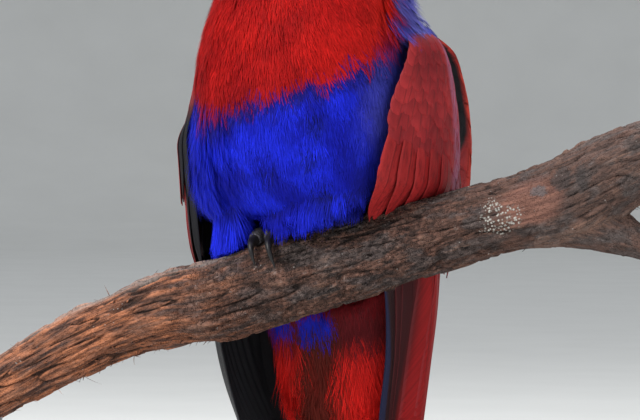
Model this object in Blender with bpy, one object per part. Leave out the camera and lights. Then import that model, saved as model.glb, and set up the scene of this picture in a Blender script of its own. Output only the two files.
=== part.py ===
"""A life-size female eclectus parrot gripping a short length of branch, held up on a plain display stand.

Metres, +Z up. The origin is the centre of the stand's underside. The bird faces -Y and its left side is +X.
The bird is modelled in millimetres in its own frame, which has its origin on the branch's axis between the feet,
and is then rolled a little and moved to its place on the stand."""

import math
import random

import bmesh
import bpy
from mathutils import Matrix, Vector, noise

for old in list(bpy.data.objects):
    bpy.data.objects.remove(old)

MM = 0.001
GAP = 0.35                # clear space between touching nodes, mm
LEFT, RIGHT = 1, -1

# Where the bird stands and how it leans, mm and degrees
PERCH_HEIGHT = 178.0      # branch axis above the floor, at the feet
PERCH_X = -8.5
PERCH_Y = -14.0
ROLL = 5.0                # the head leans to the bird's left, the tail to its right
HEAD_TURN = 10.0          # the head looks a little to the bird's left

# The stand, mm
BASE_SIZE = (310.0, 150.0, 12.0)
ROD_RADIUS = 4.0
ROD_X = (-134.0, 151.0)     # from the perch point

random.seed(7)


def smoothstep(low, high, value):
    """0 below low, 1 above high, and a smooth turn between."""
    share = min(1.0, max(0.0, (value - low) / (high - low)))
    return share * share * (3 - 2 * share)


def spline(table, place):
    """The row of a table at a place from 0 to its last index, on a smooth curve through its rows."""
    last = len(table) - 1
    place = min(max(place, 0.0), float(last))
    index = min(int(place), last - 1)
    t = place - index
    rows = [table[min(max(index + k, 0), last)] for k in (-1, 0, 1, 2)]
    return [
        0.5 * (2 * b + (c - a) * t + (2 * a - 5 * b + 4 * c - d) * t * t + (3 * b - a - 3 * c + d) * t ** 3)
        for a, b, c, d in zip(*rows)
    ]


# The bird's placing: millimetres in its own frame to metres in the row's

ROLLED = Matrix.Rotation(math.radians(ROLL), 4, "Y")
PLACED = Matrix.Scale(MM, 4) @ Matrix.Translation((PERCH_X, PERCH_Y, PERCH_HEIGHT)) @ ROLLED
ON_STAND = Matrix.Scale(MM, 4)
NECK_PIVOT = Vector((0.0, -20.0, 0.0))


def turned_head(point):
    """A point of the bird with the neck's turn, which grows from the breast to the head."""
    share = smoothstep(100.0, 150.0, point.z)
    turn = Matrix.Rotation(math.radians(HEAD_TURN) * share, 3, "Z")
    return turn @ (point - NECK_PIVOT) + NECK_PIVOT


# Materials and meshes

def material(name, colour, roughness, metallic=0.0):
    made = bpy.data.materials.new(name)
    made.use_nodes = True
    shader = made.node_tree.nodes["Principled BSDF"]
    shader.inputs["Base Color"].default_value = (*colour, 1.0)
    shader.inputs["Roughness"].default_value = roughness
    shader.inputs["Metallic"].default_value = metallic
    return made


RED = material("red_feather", (0.62, 0.03, 0.02), 0.6)
MAROON = material("maroon_feather", (0.30, 0.02, 0.03), 0.55)
BLUE = material("blue_feather", (0.03, 0.04, 0.50), 0.6)
HORN = material("black_horn", (0.02, 0.02, 0.02), 0.3)
IRIS = material("iris", (0.80, 0.72, 0.45), 0.1)
FOOT_SKIN = material("grey_foot_skin", (0.11, 0.10, 0.10), 0.7)
BARK = material("branch_wood", (0.22, 0.11, 0.07), 0.85)
STAND = material("stand_board", (0.30, 0.20, 0.12), 0.5)
STEEL = material("rod_steel", (0.55, 0.55, 0.56), 0.35, 1.0)


def mesh_object(name, points, faces, finish):
    """A named object from points in its own frame, with its faces turned outwards."""
    mesh = bpy.data.meshes.new(name)
    mesh.from_pydata([tuple(p) for p in points], [], faces)
    shape = bmesh.new()
    shape.from_mesh(mesh)
    bmesh.ops.recalc_face_normals(shape, faces=shape.faces)
    bmesh.ops.triangulate(shape, faces=shape.faces)
    shape.to_mesh(mesh)
    shape.free()
    mesh.materials.append(finish)
    made = bpy.data.objects.new(name, mesh)
    bpy.context.scene.collection.objects.link(made)
    return made


def loft(name, rings, finish):
    """A closed body through rings of equal length, closed at both ends by a point at each end ring's middle."""
    count = len(rings[0])
    points = [Vector(p) for ring in rings for p in ring]
    faces = []
    for row in range(len(rings) - 1):
        for k in range(count):
            a = row * count + k
            b = row * count + (k + 1) % count
            faces.append((a, b, b + count, a + count))
    for start in (0, (len(rings) - 1) * count):
        middle = sum((points[start + k] for k in range(count)), Vector()) / count
        points.append(middle)
        faces += [(start + k, start + (k + 1) % count, len(points) - 1) for k in range(count)]
    return mesh_object(name, points, faces, finish)


def ball(name, centre, radii, finish, segments=16, rings=10):
    """A closed ellipsoid with its poles along Z."""
    rows = []
    for row in range(1, rings):
        angle = math.pi * row / rings
        rows.append([
            Vector(centre) + Vector((
                radii[0] * math.sin(angle) * math.cos(math.tau * k / segments),
                radii[1] * math.sin(angle) * math.sin(math.tau * k / segments),
                radii[2] * math.cos(angle),
            ))
            for k in range(segments)
        ])
    made = loft(name, rows, finish)
    made.data.vertices[-2].co = Vector(centre) + Vector((0, 0, radii[2]))
    made.data.vertices[-1].co = Vector(centre) - Vector((0, 0, radii[2]))
    return made


def tube(name, path, radii, finish, sides=8, flatten=1.0):
    """A closed round bar along a path, with a radius at each of its points."""
    path = [Vector(p) for p in path]
    rings = []
    start = (path[1] - path[0]).normalized()
    across = start.cross(Vector((1, 0, 0)) if abs(start.x) < 0.8 else Vector((0, 1, 0)))
    for index, point in enumerate(path):
        along = path[min(index + 1, len(path) - 1)] - path[max(index - 1, 0)]
        along.normalize()
        across = (across - along * across.dot(along)).normalized()
        side = across.cross(along)
        rings.append([
            point + radii[index] * (math.cos(math.tau * k / sides) * side
                                    + flatten * math.sin(math.tau * k / sides) * across)
            for k in range(sides)
        ])
    return loft(name, rings, finish)


def apply_modifiers(made):
    graph = bpy.context.evaluated_depsgraph_get()
    made.data = bpy.data.meshes.new_from_object(made.evaluated_get(graph))
    made.modifiers.clear()


def keep_largest(made):
    """Drops all but the surface that encloses most, and the inner surfaces that a union leaves."""
    shape = bmesh.new()
    shape.from_mesh(made.data)
    waiting = set(shape.faces)
    bodies = []
    while waiting:
        body, edge = [], [waiting.pop()]
        while edge:
            face = edge.pop()
            body.append(face)
            for near in (f for e in face.edges for f in e.link_faces if f in waiting):
                waiting.discard(near)
                edge.append(near)
        volume = sum(f.calc_center_median().dot(f.normal) * f.calc_area() for f in body)
        bodies.append((volume, body))
    bodies.sort(key=lambda pair: pair[0])
    for _, body in bodies[:-1]:
        bmesh.ops.delete(shape, geom=body, context="FACES")
    loose = [v for v in shape.verts if not v.link_faces]
    bmesh.ops.delete(shape, geom=loose, context="VERTS")
    bmesh.ops.triangulate(shape, faces=shape.faces)
    shape.to_mesh(made.data)
    shape.free()


def fuse(base, pieces, solver="EXACT"):
    """Joins closed pieces to a base in one Boolean union, and removes them."""
    group = bpy.data.collections.new(base.name + "_pieces")
    bpy.context.scene.collection.children.link(group)
    for piece in pieces:
        bpy.context.scene.collection.objects.unlink(piece)
        group.objects.link(piece)
    join = base.modifiers.new("join", "BOOLEAN")
    join.operation = "UNION"
    join.operand_type = "COLLECTION"
    join.collection = group
    join.solver = solver
    apply_modifiers(base)
    for piece in pieces:
        bpy.data.objects.remove(piece)
    bpy.data.collections.remove(group)
    keep_largest(base)


def swollen(made, by):
    """A copy of a body whose surface stands out by a distance, to cut its neighbours with."""
    copy = made.copy()
    copy.data = made.data.copy()
    bpy.context.scene.collection.objects.link(copy)
    normals = [v.normal.copy() for v in copy.data.vertices]
    for vertex, normal in zip(copy.data.vertices, normals):
        vertex.co += normal * by
    copy.hide_render = True
    copy.display_type = "WIRE"
    return copy


def carve(made, cutters, clearance=GAP, solver="MANIFOLD"):
    """Cuts a body clear of its neighbours by the clearance, and keeps its largest piece."""
    for cutter in cutters:
        swell = swollen(cutter, clearance)
        cut = made.modifiers.new("clear", "BOOLEAN")
        cut.operation = "DIFFERENCE"
        cut.object = swell
        cut.solver = solver
        apply_modifiers(made)
        bpy.data.objects.remove(swell)
    keep_largest(made)


def place(made, matrix):
    """Moves a finished body from its own frame to the row's."""
    made.data.transform(matrix)
    made.data.update()
    made.data.shade_smooth()
    made.data.set_sharp_from_angle(angle=math.radians(40))


# The body: one smooth form from the vent to the forehead, parted into torso, neck and head
# Each row is a section: the front profile point (y, z), the back profile point (y, z), and how wide it is
# to its right and to its left, where the wing wraps it, mm

BODY = [
    (40.0, -52.0, 60.0, -44.0, 20.0, 20.0),      # vent
    (30.0, -33.0, 65.0, -22.0, 29.0, 27.0),
    (19.0, -11.0, 67.0, 2.0, 40.0, 34.0),
    (2.0, 12.0, 65.0, 27.0, 48.0, 38.5),
    (-23.0, 26.0, 60.0, 48.0, 49.5, 40.5),       # belly
    (-39.0, 46.0, 50.0, 68.0, 49.0, 42.0),
    (-47.0, 68.0, 38.0, 86.0, 48.0, 42.5),       # breast
    (-50.0, 88.0, 24.0, 102.0, 43.0, 39.5),
    (-49.0, 106.0, 11.0, 117.0, 36.5, 34.5),
    (-47.0, 122.0, 3.0, 131.0, 31.0, 30.0),      # neck
    (-48.0, 136.0, 0.0, 144.0, 28.0, 28.0),      # throat
    (-51.0, 146.0, 1.0, 158.0, 26.0, 26.0),      # jaw and nape
    (-55.0, 151.0, -6.0, 174.0, 25.0, 25.0),
    (-58.0, 155.0, -20.0, 185.0, 23.5, 23.5),    # cheek and crown
    (-60.5, 159.0, -37.0, 187.5, 20.0, 20.0),
    (-62.0, 162.0, -51.0, 182.5, 15.5, 15.5),    # forehead
    (-62.0, 166.0, -58.5, 175.0, 8.0, 8.0),
]
NECK_BELOW, NECK_ABOVE, FACE = 7.55, 10.55, 16.0
BODY_SIDES = 24
ROUNDNESS = 2.2


def body_point(section, angle):
    """A point of the body. The angle is 0 at the back, 90 degrees at the bird's left and 180 at the front."""
    front_y, front_z, back_y, back_z, right, left = spline(BODY, section)
    front, back = Vector((0, front_y, front_z)), Vector((0, back_y, back_z))
    sine, cosine = math.sin(angle), math.cos(angle)
    across = math.copysign(abs(sine) ** (2 / ROUNDNESS), sine) * (left if sine > 0 else right)
    deep = math.copysign(abs(cosine) ** (2 / ROUNDNESS), cosine)
    return turned_head((front + back) / 2 + (back - front) / 2 * deep + Vector((across, 0, 0)))


def body_length(name, low, high, rows, finish):
    """One length of the body, from a low to a high section."""
    rings = []
    for row in range(rows + 1):
        section = low + (high - low) * row / rows
        rings.append([body_point(section, math.tau * k / BODY_SIDES) for k in range(BODY_SIDES)])
    return loft(name, rings, finish)


SEAM = 0.016              # half a seam, in sections: about 0.2 mm each side
torso = body_length("torso", 0.0, NECK_BELOW - SEAM, 14, BLUE)
neck = body_length("neck", NECK_BELOW + SEAM, NECK_ABOVE - SEAM, 6, RED)
head = body_length("head", NECK_ABOVE + SEAM, FACE, 11, RED)


# Bill: a deep hooked upper half, and a short scoop of a lower half that closes behind its hook

UPPER_BILL = [  # spine y, z, half height, half width
    (-50.0, 169.5, 10.5, 9.0),
    (-58.0, 171.0, 11.0, 9.4),
    (-66.0, 169.0, 10.3, 8.7),
    (-72.5, 163.5, 8.6, 7.2),
    (-76.0, 156.0, 6.2, 5.4),
    (-77.0, 149.0, 3.9, 3.5),
    (-76.0, 143.0, 1.7, 1.6),
    (-74.8, 139.5, 0.45, 0.45),
]
LOWER_BILL = [
    (-52.0, 159.0, 8.0, 8.6),
    (-58.5, 156.3, 8.0, 8.2),
    (-64.5, 154.8, 7.2, 7.2),
    (-68.6, 155.6, 5.2, 5.6),
    (-70.8, 157.6, 2.4, 3.2),
]
EYE_AT = (-40.5, 171.0)        # y and z of the eye on the head's side
EYE_RADIUS, EYE_STANDS = 5.8, 1.9   # its radius, and how far it stands out of the feathers
LID_RADIUS, LID_THICK, LID_SIDES = 5.0, 1.2, 12
BILL_CLEARANCE = 0.6           # between the bill and the face
NOSTRIL_AT, NOSTRIL_RADIUS = (4.6, -58.0, 181.2), 1.25


def bill_half(name, table, rows, sides=14):
    """A bill half as oval rings square to its curved spine."""
    rings = []
    last = len(table) - 1
    for row in range(rows + 1):
        place_on = last * row / rows
        y, z, height, width = spline(table, place_on)
        ahead, behind = spline(table, place_on + 0.05), spline(table, place_on - 0.05)
        along = Vector((0, ahead[0] - behind[0], ahead[1] - behind[1])).normalized()
        up = Vector((0, -along.z, along.y))
        up = -up if up.z < 0 and row == 0 else up
        if rings and up.dot(last_up) < 0:
            up = -up
        last_up = up
        ring = []
        for k in range(sides):
            angle = math.tau * k / sides
            ring.append(Vector((0, y, z)) + up * math.cos(angle) * height
                        + Vector((math.sin(angle) * width, 0, 0)))
        rings.append([turned_head(p) for p in ring])
    return loft(name, rings, HORN)


bill_upper = bill_half("bill_upper", UPPER_BILL, 11)
bill_lower = bill_half("bill_lower", LOWER_BILL, 6)
for side in (LEFT, RIGHT):
    x, y, z = NOSTRIL_AT
    pit = ball("pit", turned_head(Vector((side * x, y, z))), [NOSTRIL_RADIUS] * 3, HORN, 8, 5)
    carve(bill_upper, [pit], 0.0)
    bpy.data.objects.remove(pit)
carve(bill_lower, [bill_upper])
carve(head, [bill_upper, bill_lower], BILL_CLEARANCE)

def head_side(side, y, z):
    """Where the head's surface is nearest to a y and z of the straight head, and its outward direction there."""
    goal = turned_head(Vector((side * 20.0, y, z)))
    spots = [(NECK_ABOVE + 0.1 * row, side * math.pi * k / 48) for row in range(54) for k in range(4, 45)]
    near = min(spots, key=lambda spot: (body_point(*spot) - goal).length)
    here = body_point(*near)
    along = body_point(near[0] + 0.1, near[1]) - body_point(near[0] - 0.1, near[1])
    around = body_point(near[0], near[1] + 0.1) - body_point(near[0], near[1] - 0.1)
    outward = along.cross(around).normalized()
    return here, outward if outward.x * side > 0 else -outward


eyes = {}
for side, word in ((LEFT, "left"), (RIGHT, "right")):
    surface, outward = head_side(side, *EYE_AT)
    centre = surface - outward * (EYE_RADIUS - EYE_STANDS)
    eyes[side] = ball("eye_" + word, centre, [EYE_RADIUS] * 3, IRIS, 12, 8)
    facing = outward.to_track_quat("Z", "Y").to_matrix()
    lid_rings = []
    for k in range(LID_SIDES):
        turn = math.tau * k / LID_SIDES
        spoke = facing @ Vector((math.cos(turn), math.sin(turn), 0))
        middle = centre + outward * (EYE_RADIUS - EYE_STANDS + 0.2) + spoke * LID_RADIUS
        lid_rings.append([
            middle + LID_THICK * (math.cos(math.tau * j / 4) * spoke + math.sin(math.tau * j / 4) * outward)
            for j in range(4)
        ])
    lid_points = [p for ring in lid_rings for p in ring]
    lid_faces = [
        (k * 4 + j, k * 4 + (j + 1) % 4, (k + 1) % LID_SIDES * 4 + (j + 1) % 4, (k + 1) % LID_SIDES * 4 + j)
        for k in range(LID_SIDES) for j in range(4)
    ]
    fuse(head, [mesh_object("lid", lid_points, lid_faces, RED)])
    carve(head, [eyes[side]], 0.3)


# Vanes: each feather is a thin closed blade with a low ridge along its middle

VANE_THICK = 0.6


def blade(name, tops, lows, finish):
    """A blade between rows of points above and the same below, split into triangles alike on both faces."""
    wide = len(tops[0])
    ring = 2 * wide
    points = [p for top, low in zip(tops, lows) for p in top + low]
    faces = []
    for k in range(len(tops) - 1):
        a, b = k * ring, (k + 1) * ring
        for j in range(wide - 1):
            for under in (0, wide):
                left, right = j + under, j + 1 + under
                faces += [(a + left, a + right, b + right), (a + left, b + right, b + left)]
        for j in (0, wide - 1):
            faces += [(a + j, a + j + wide, b + j + wide), (a + j, b + j + wide, b + j)]
    for start in (0, (len(tops) - 1) * ring):
        for j in range(wide - 1):
            corner = start + j
            faces += [(corner, corner + 1, corner + 1 + wide), (corner, corner + 1 + wide, corner + wide)]
    return mesh_object(name, points, faces, finish)


# Wings: folded, each a curved shield from the wrist to the tip. The left one comes further round the breast
# Each row is a level: z, left wing's leading edge (x, y), right wing's leading edge (x, y), bulge (x, y),
# trailing edge (x, y), thickness, mm

WING = [
    (101.0, 38.0, -18.0, 34.0, -12.0, 44.0, -6.0, 33.0, 8.0, 5.0),     # wrist
    (92.0, 43.5, -25.0, 41.0, -16.0, 58.0, -4.0, 32.0, 25.0, 9.0),
    (75.0, 40.0, -28.0, 46.0, -16.0, 70.0, 5.0, 27.0, 47.0, 12.0),
    (55.0, 35.5, -29.5, 48.0, -11.0, 79.0, 16.0, 19.0, 62.0, 12.0),
    (37.0, 32.0, -29.0, 47.0, -4.0, 82.0, 25.0, 12.0, 71.0, 12.0),
    (15.0, 30.5, -17.0, 46.0, 6.0, 77.0, 36.0, 9.0, 78.0, 11.0),
    (-5.0, 32.5, 3.0, 44.0, 15.0, 69.0, 42.0, 7.5, 81.0, 10.0),
    (-30.0, 32.5, 17.0, 39.0, 20.0, 63.0, 45.0, 7.0, 82.0, 9.0),
    (-57.0, 31.0, 24.0, 32.0, 23.0, 58.0, 50.0, 7.5, 83.0, 8.0),
    (-90.0, 28.0, 44.0, 28.0, 44.0, 46.0, 66.0, 9.0, 84.0, 6.0),
    (-128.0, 21.0, 74.0, 21.0, 74.0, 27.0, 84.0, 12.0, 90.0, 4.0),     # tip
]
RIGHT_TUCK = 6.0          # how much closer the right wing sits to the breast, where feathers cover its edge
RIGHT_LOOSE = 13.0        # and how far it hangs open lower down
CORE_TOP, CORE_LOW = 100.0, -34.0
CORE_DEPTH = (0.9, 4.3)            # below the wing's surface, under the coverts and at the low end


def wing_level(z, side):
    """A side's leading edge, bulge, trailing edge and thickness at a height, found by halving."""
    low, high = 0.0, float(len(WING) - 1)
    for _ in range(24):
        middle = (low + high) / 2
        if spline(WING, middle)[0] > z:
            low = middle
        else:
            high = middle
    _, left_x, left_y, right_x, right_y, bulge_x, bulge_y, trail_x, trail_y, thick = spline(WING, low)
    lead = Vector((left_x, left_y)) if side == LEFT else Vector((right_x, right_y))
    if side == RIGHT:
        loose = smoothstep(45.0, -8.0, z) * smoothstep(-80.0, -30.0, z)
        bulge_x += RIGHT_LOOSE * loose - RIGHT_TUCK * smoothstep(0.0, 60.0, z)
    return lead, Vector((bulge_x, bulge_y)), Vector((trail_x, trail_y)), thick


def wing_point(side, z, across, depth):
    """A point of a wing: across runs from 0 at the leading edge to 1 at the trailing edge, depth goes inwards."""
    lead, bulge, trail, _ = wing_level(z, side)
    u = across
    spot = lead * (1 - u) ** 2 + bulge * 2 * u * (1 - u) + trail * u * u
    along = ((bulge - lead) * (1 - u) + (trail - bulge) * u).normalized()
    spot -= Vector((along.y, -along.x)) * depth
    return Vector((side * spot.x, spot.y, z))


def wing_chord(z, side):
    """The length across the wing at a height."""
    steps = [wing_point(side, z, k / 6, 0) for k in range(7)]
    return sum((b - a).length for a, b in zip(steps, steps[1:]))


def wing_vane(side, root, tip, width, depth, tilt, sink=3.0, rows=5, ridge=0.25):
    """One feather of a wing. Root and tip are (z, across); depth is its own below the surface past the root."""
    shares = {4: (0.0, 0.4, 0.8, 1.0), 5: (0.0, 0.3, 0.62, 0.87, 1.0)}[rows]
    widths = {4: (0.7, 1.0, 0.9, 0.3), 5: (0.6, 0.95, 1.0, 0.78, 0.22)}[rows]
    tops, lows = [], []
    for share, wide in zip(shares, widths):
        z = root[0] + (tip[0] - root[0]) * share
        u = root[1] + (tip[1] - root[1]) * share
        half = width / 2 * wide
        step = half / wing_chord(z, side)
        own = depth + sink * max(0.0, 1 - share / 0.45) ** 2
        levels = [(u - step, own - tilt * half), (u + step, own + tilt * half)]
        if ridge:
            levels.insert(1, (u, own - ridge))
        tops.append([wing_point(side, z, a, d) for a, d in levels])
        lows.append([wing_point(side, z, a, d + VANE_THICK) for a, d in levels])
    return blade("vane", tops, lows, MAROON)


def wing_core(side):
    """The wing's flesh under its coverts, from the wrist down to where the flight feathers leave it."""
    rings = []
    count = 7
    for row in range(11):
        z = CORE_TOP + (CORE_LOW - CORE_TOP) * row / 10
        thick = wing_level(z, side)[3]
        spread = [0.5 - 0.5 * math.cos(math.pi * (k + 0.5) / count) for k in range(count)]
        deep = CORE_DEPTH[0] + (CORE_DEPTH[1] - CORE_DEPTH[0]) * smoothstep(14.0, CORE_LOW, z)
        outer = [wing_point(side, z, 0.02 + 0.92 * u, deep + 1.5 * abs(2 * u - 1) ** 4) for u in spread]
        inner = [wing_point(side, z, 0.04 + 0.88 * u, thick - 2.5 * abs(2 * u - 1) ** 4)
                 for u in reversed(spread)]
        rings.append(outer + inner)
    return loft("core", rings, MAROON)


# Rows of feathers: how many, across from and to, root heights, tip heights along the row, width, depth, tilt
PRIMARIES = {
    "across": (0.05, 0.09, 0.16, 0.24, 0.32, 0.40, 0.48),
    "tips": (-104.0, -118.0, -126.0, -121.0, -110.0, -96.0, -83.0),
    "tip_across": (0.10, 0.25, 0.40, 0.50, 0.56, 0.60, 0.62),
    "root": -12.0, "width": 14.0, "depth": 6.2, "tilt": 0.20,
}
SECONDARIES = {"count": 8, "across": (0.16, 0.93), "roots": (-4.0, 8.0), "tips": (-72.0, -84.0, -52.0),
               "width": 16.5, "depth": 2.6, "tilt": 0.14, "rows": 5, "ridge": 0.25}
GREATER = {"count": 7, "across": (0.11, 0.93), "roots": (36.0, 48.0), "tips": (-12.0, -16.0, 2.0),
           "width": 17.5, "depth": -0.4, "tilt": 0.12, "rows": 4, "ridge": 0}
MEDIAN = {"count": 6, "across": (0.10, 0.90), "roots": (60.0, 70.0), "tips": (28.0, 24.0, 36.0),
          "width": 19.0, "depth": -1.6, "tilt": 0.12, "rows": 4, "ridge": 0}
LESSER = {"count": 5, "across": (0.12, 0.88), "roots": (82.0, 90.0), "tips": (56.0, 53.0, 60.0),
          "width": 19.0, "depth": -1.9, "tilt": 0.12, "rows": 4, "ridge": 0}


def tier(side, plan):
    """A row of like feathers that lie over one another towards the back."""
    made = []
    for k in range(plan["count"]):
        share = k / (plan["count"] - 1)
        u = plan["across"][0] + (plan["across"][1] - plan["across"][0]) * share
        first, middle, last = plan["tips"]
        tip = (first * (1 - share) * (1 - 2 * share) + middle * 4 * share * (1 - share)
               + last * share * (2 * share - 1))
        root = plan["roots"][0] + (plan["roots"][1] - plan["roots"][0]) * share
        made.append(wing_vane(side, (root, u), (tip + random.uniform(-1.0, 1.0), u), plan["width"],
                              plan["depth"], plan["tilt"], rows=plan["rows"], ridge=plan["ridge"]))
    return made


wings = {}
for side, word in ((LEFT, "left"), (RIGHT, "right")):
    vanes = [
        wing_vane(side, (PRIMARIES["root"], u), (tip, tip_u), PRIMARIES["width"],
                  PRIMARIES["depth"], PRIMARIES["tilt"], sink=-2.5)
        for u, tip, tip_u in zip(PRIMARIES["across"], PRIMARIES["tips"], PRIMARIES["tip_across"])
    ]
    for plan in (SECONDARIES, GREATER, MEDIAN, LESSER):
        vanes += tier(side, plan)
    wing = wing_core(side)
    wing.name = "wing_" + word
    fuse(wing, vanes)
    wings[side] = wing


# Tail: long feathers fanned a little to both sides under a middle one, and the coverts below their roots
# The tail's own surface runs from its root to its tip, (y, z), mm

TAIL_ROOT, TAIL_TIP = (52.0, -46.0), (74.0, -156.0)
TAIL_PAIRS = 4                    # beside the middle feather
TAIL_NEAR = (4.3, 7.8)            # the first pair's distance from the middle, at the root and at the tip
TAIL_SPREAD = (1.6, 3.7)          # step between neighbours at the root and at the tip
TAIL_WIDTH = 15.0
TAIL_STEP = 0.95                  # depth between neighbours


def tail_point(share, x, depth):
    """A point of the tail: share runs from root to tip, depth goes towards the belly side."""
    y = TAIL_ROOT[0] + (TAIL_TIP[0] - TAIL_ROOT[0]) * share
    z = TAIL_ROOT[1] + (TAIL_TIP[1] - TAIL_ROOT[1]) * share
    arch = 2.2 * (x / 18.0) ** 2
    return Vector((x, y - depth - arch, z - 0.2 * depth))


def tail_blade(stations):
    """A feather of the tail through stations of (share, x, half width, depth)."""
    tops, lows = [], []
    for share, x, half, depth in stations:
        levels = ((x - half, depth), (x, depth - 0.2), (x + half, depth))
        tops.append([tail_point(share, a, d) for a, d in levels])
        lows.append([tail_point(share, a, d + VANE_THICK) for a, d in levels])
    return blade("vane", tops, lows, RED)


def tail_vane(side, index):
    """One tail feather, the outer ones shorter, lower and further out. The middle one has index 0."""
    length = 1.0 - 0.02 * index ** 1.5
    stations = []
    for share, wide in ((0.02, 0.5), (0.3, 0.85), (0.62, 1.0), (0.88, 0.95), (1.0, 0.45)):
        at = share * length
        near = TAIL_NEAR[0] + (TAIL_NEAR[1] - TAIL_NEAR[0]) * at
        step = TAIL_SPREAD[0] + (TAIL_SPREAD[1] - TAIL_SPREAD[0]) * at
        x = side * (near + step * (index - 1)) if index else 0.0
        stations.append((at, x, TAIL_WIDTH / 2 * wide, TAIL_STEP * index))
    return tail_blade(stations)


def covert_vane(x, share_tip, width, depths):
    """One of the coverts that lie under the tail's root."""
    stations = []
    for share, wide, depth in zip((0.0, 0.35, 0.75, 1.0), (0.7, 1.0, 0.85, 0.3), depths):
        stations.append((0.03 + (share_tip - 0.03) * share, x, width / 2 * wide, depth))
    return tail_blade(stations)


tail_rings = []
for share, half_width, front, back in ((0.0, 16.5, 8.0, 6.0), (0.09, 19.0, 9.0, 3.4), (0.2, 17.0, 8.5, 2.2),
                                       (0.32, 12.5, 7.2, 1.5), (0.415, 7.6, 5.7, 1.0)):
    ring = []
    for k in range(16):
        turn = math.tau * (k + 0.5) / 16
        deep = math.cos(turn)
        ring.append(tail_point(share, math.sin(turn) * half_width, deep * (front if deep > 0 else back)))
    tail_rings.append(ring)
tail = loft("tail", tail_rings, RED)
tail_vanes = [tail_vane(LEFT, 0)]
tail_vanes += [tail_vane(side, index) for index in range(1, TAIL_PAIRS + 1) for side in (LEFT, RIGHT)]
for k in range(5):
    under = k % 2
    tail_vanes.append(covert_vane(-13.6 + 6.8 * k, 0.52 - 0.05 * abs(k - 2), 12.5,
                                  (5.0 - under, 9.8 - under, 8.6 - under, 6.2 - under)))
for k in range(4):
    under = k % 2
    tail_vanes.append(covert_vane(-10.2 + 6.8 * k, 0.36 - 0.03 * abs(k - 1.5), 12.0,
                                  (6.0 - under, 12.2 - under, 12.0 - under, 10.4 - under)))
fuse(tail, tail_vanes)


# Branch: a short cut length, its axis rising to the bird's left, where a thin side limb leaves it below
# Each row is a place along it: x, z, radius, mm

BRANCH = [
    (-142.0, -53.0, 10.4),
    (-121.0, -41.5, 11.6),
    (-100.0, -31.0, 12.7),
    (-76.0, -20.3, 13.4),
    (-54.0, -13.2, 15.0),
    (-32.0, -9.6, 16.0),
    (-10.0, -2.6, 16.5),
    (12.0, 4.5, 16.4),
    (36.0, 11.3, 15.6),
    (62.0, 18.8, 14.4),
    (86.0, 25.0, 14.6),
    (108.0, 31.4, 15.6),
    (130.0, 42.0, 15.0),
    (146.0, 48.5, 13.6),
    (160.0, 52.5, 13.2),
]
BRANCH_STEP = (BRANCH[-1][0] - BRANCH[0][0]) / (len(BRANCH) - 1)
BRANCH_SIDES, BRANCH_ROWS = 14, 28
LIMB = [  # x, z, radius
    (92.0, 24.0, 8.0),
    (108.0, 21.5, 9.6),
    (122.0, 18.0, 8.6),
    (134.0, 14.6, 7.2),
    (143.0, 11.0, 6.6),
]


def branch_at(x):
    """The branch's axis point and radius at an x, upright and not rolled with the bird."""
    share = (x - BRANCH[0][0]) / (BRANCH[-1][0] - BRANCH[0][0]) * (len(BRANCH) - 1)
    for _ in range(6):
        share -= (spline(BRANCH, share)[0] - x) / BRANCH_STEP
    _, z, radius = spline(BRANCH, share)
    return Vector((x, 2.0 * math.sin(x / 38.0), z)), radius


def branch_point(x, angle, height=0.0):
    """A point over the branch: angle 0 is its front, 90 degrees its top and 180 its back."""
    middle, radius = branch_at(x)
    slope = (branch_at(x + 1)[0] - branch_at(x - 1)[0]).normalized()
    up = Vector((0, 1, 0)).cross(slope)
    up = -up if up.z < 0 else up
    reach = radius + height
    return middle + up * math.sin(angle) * reach + Vector((0, -1, 0)) * math.cos(angle) * reach


branch_rings = []
for row in range(BRANCH_ROWS + 1):
    x = BRANCH[0][0] + (BRANCH[-1][0] - BRANCH[0][0]) * row / BRANCH_ROWS
    ring = []
    for k in range(BRANCH_SIDES):
        turn = math.tau * k / BRANCH_SIDES
        knots = 1.1 * noise.noise(Vector((x / 22.0, math.cos(turn), math.sin(turn))))
        ring.append(branch_point(x, turn, min(knots, 0.0) - 0.2))
    branch_rings.append(ring)
branch = loft("perch_branch", branch_rings, BARK)
limb_rows = [spline(LIMB, row * 0.5) for row in range(2 * len(LIMB) - 1)]
limb_path = [(x, branch_at(x)[0].y + 1.5, z) for x, z, _ in limb_rows]
fuse(branch, [tube("limb", limb_path, [radius for _, _, radius in limb_rows], BARK, 10)])


# Feet: two toes forward over the branch and two back, each with a hooked claw
# Each toe: x where it starts and ends, its angles on the branch, and its claw's last angle

FEET_X = {RIGHT: -8.5, LEFT: 23.0}
FOOT_ANGLE = 122.0
FRONT_SHORT = {RIGHT: 0.0, LEFT: 26.0}      # degrees by which the front toes stop short, under the belly
TOE_RADII = (3.5, 3.3, 2.9, 2.6)
TOES = {
    "front_inner": (2.0, 3.4, 64.0, 26.0),
    "front_outer": (-2.2, -3.5, 56.0, 13.0),
    "back_inner": (2.0, 5.0, 172.0, 208.0),
    "back_outer": (-2.5, -7.5, 184.0, 222.0),
}
TARSUS_RISE = 16.0


def toe_path(foot_x, spread, start, end, height, steps):
    """Points over the branch from one angle to another, spreading from the first x to the second."""
    return [
        branch_point(foot_x + spread[0] + (spread[1] - spread[0]) * k / steps,
                     math.radians(start + (end - start) * k / steps), height(k / steps))
        for k in range(steps + 1)
    ]


def claw_height(share):
    """How high a claw's middle stands over the bark, from its root to its tip."""
    return 3.0 + 2.2 * math.sin(math.pi * min(1.0, share * 1.15)) - 2.0 * share


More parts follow.
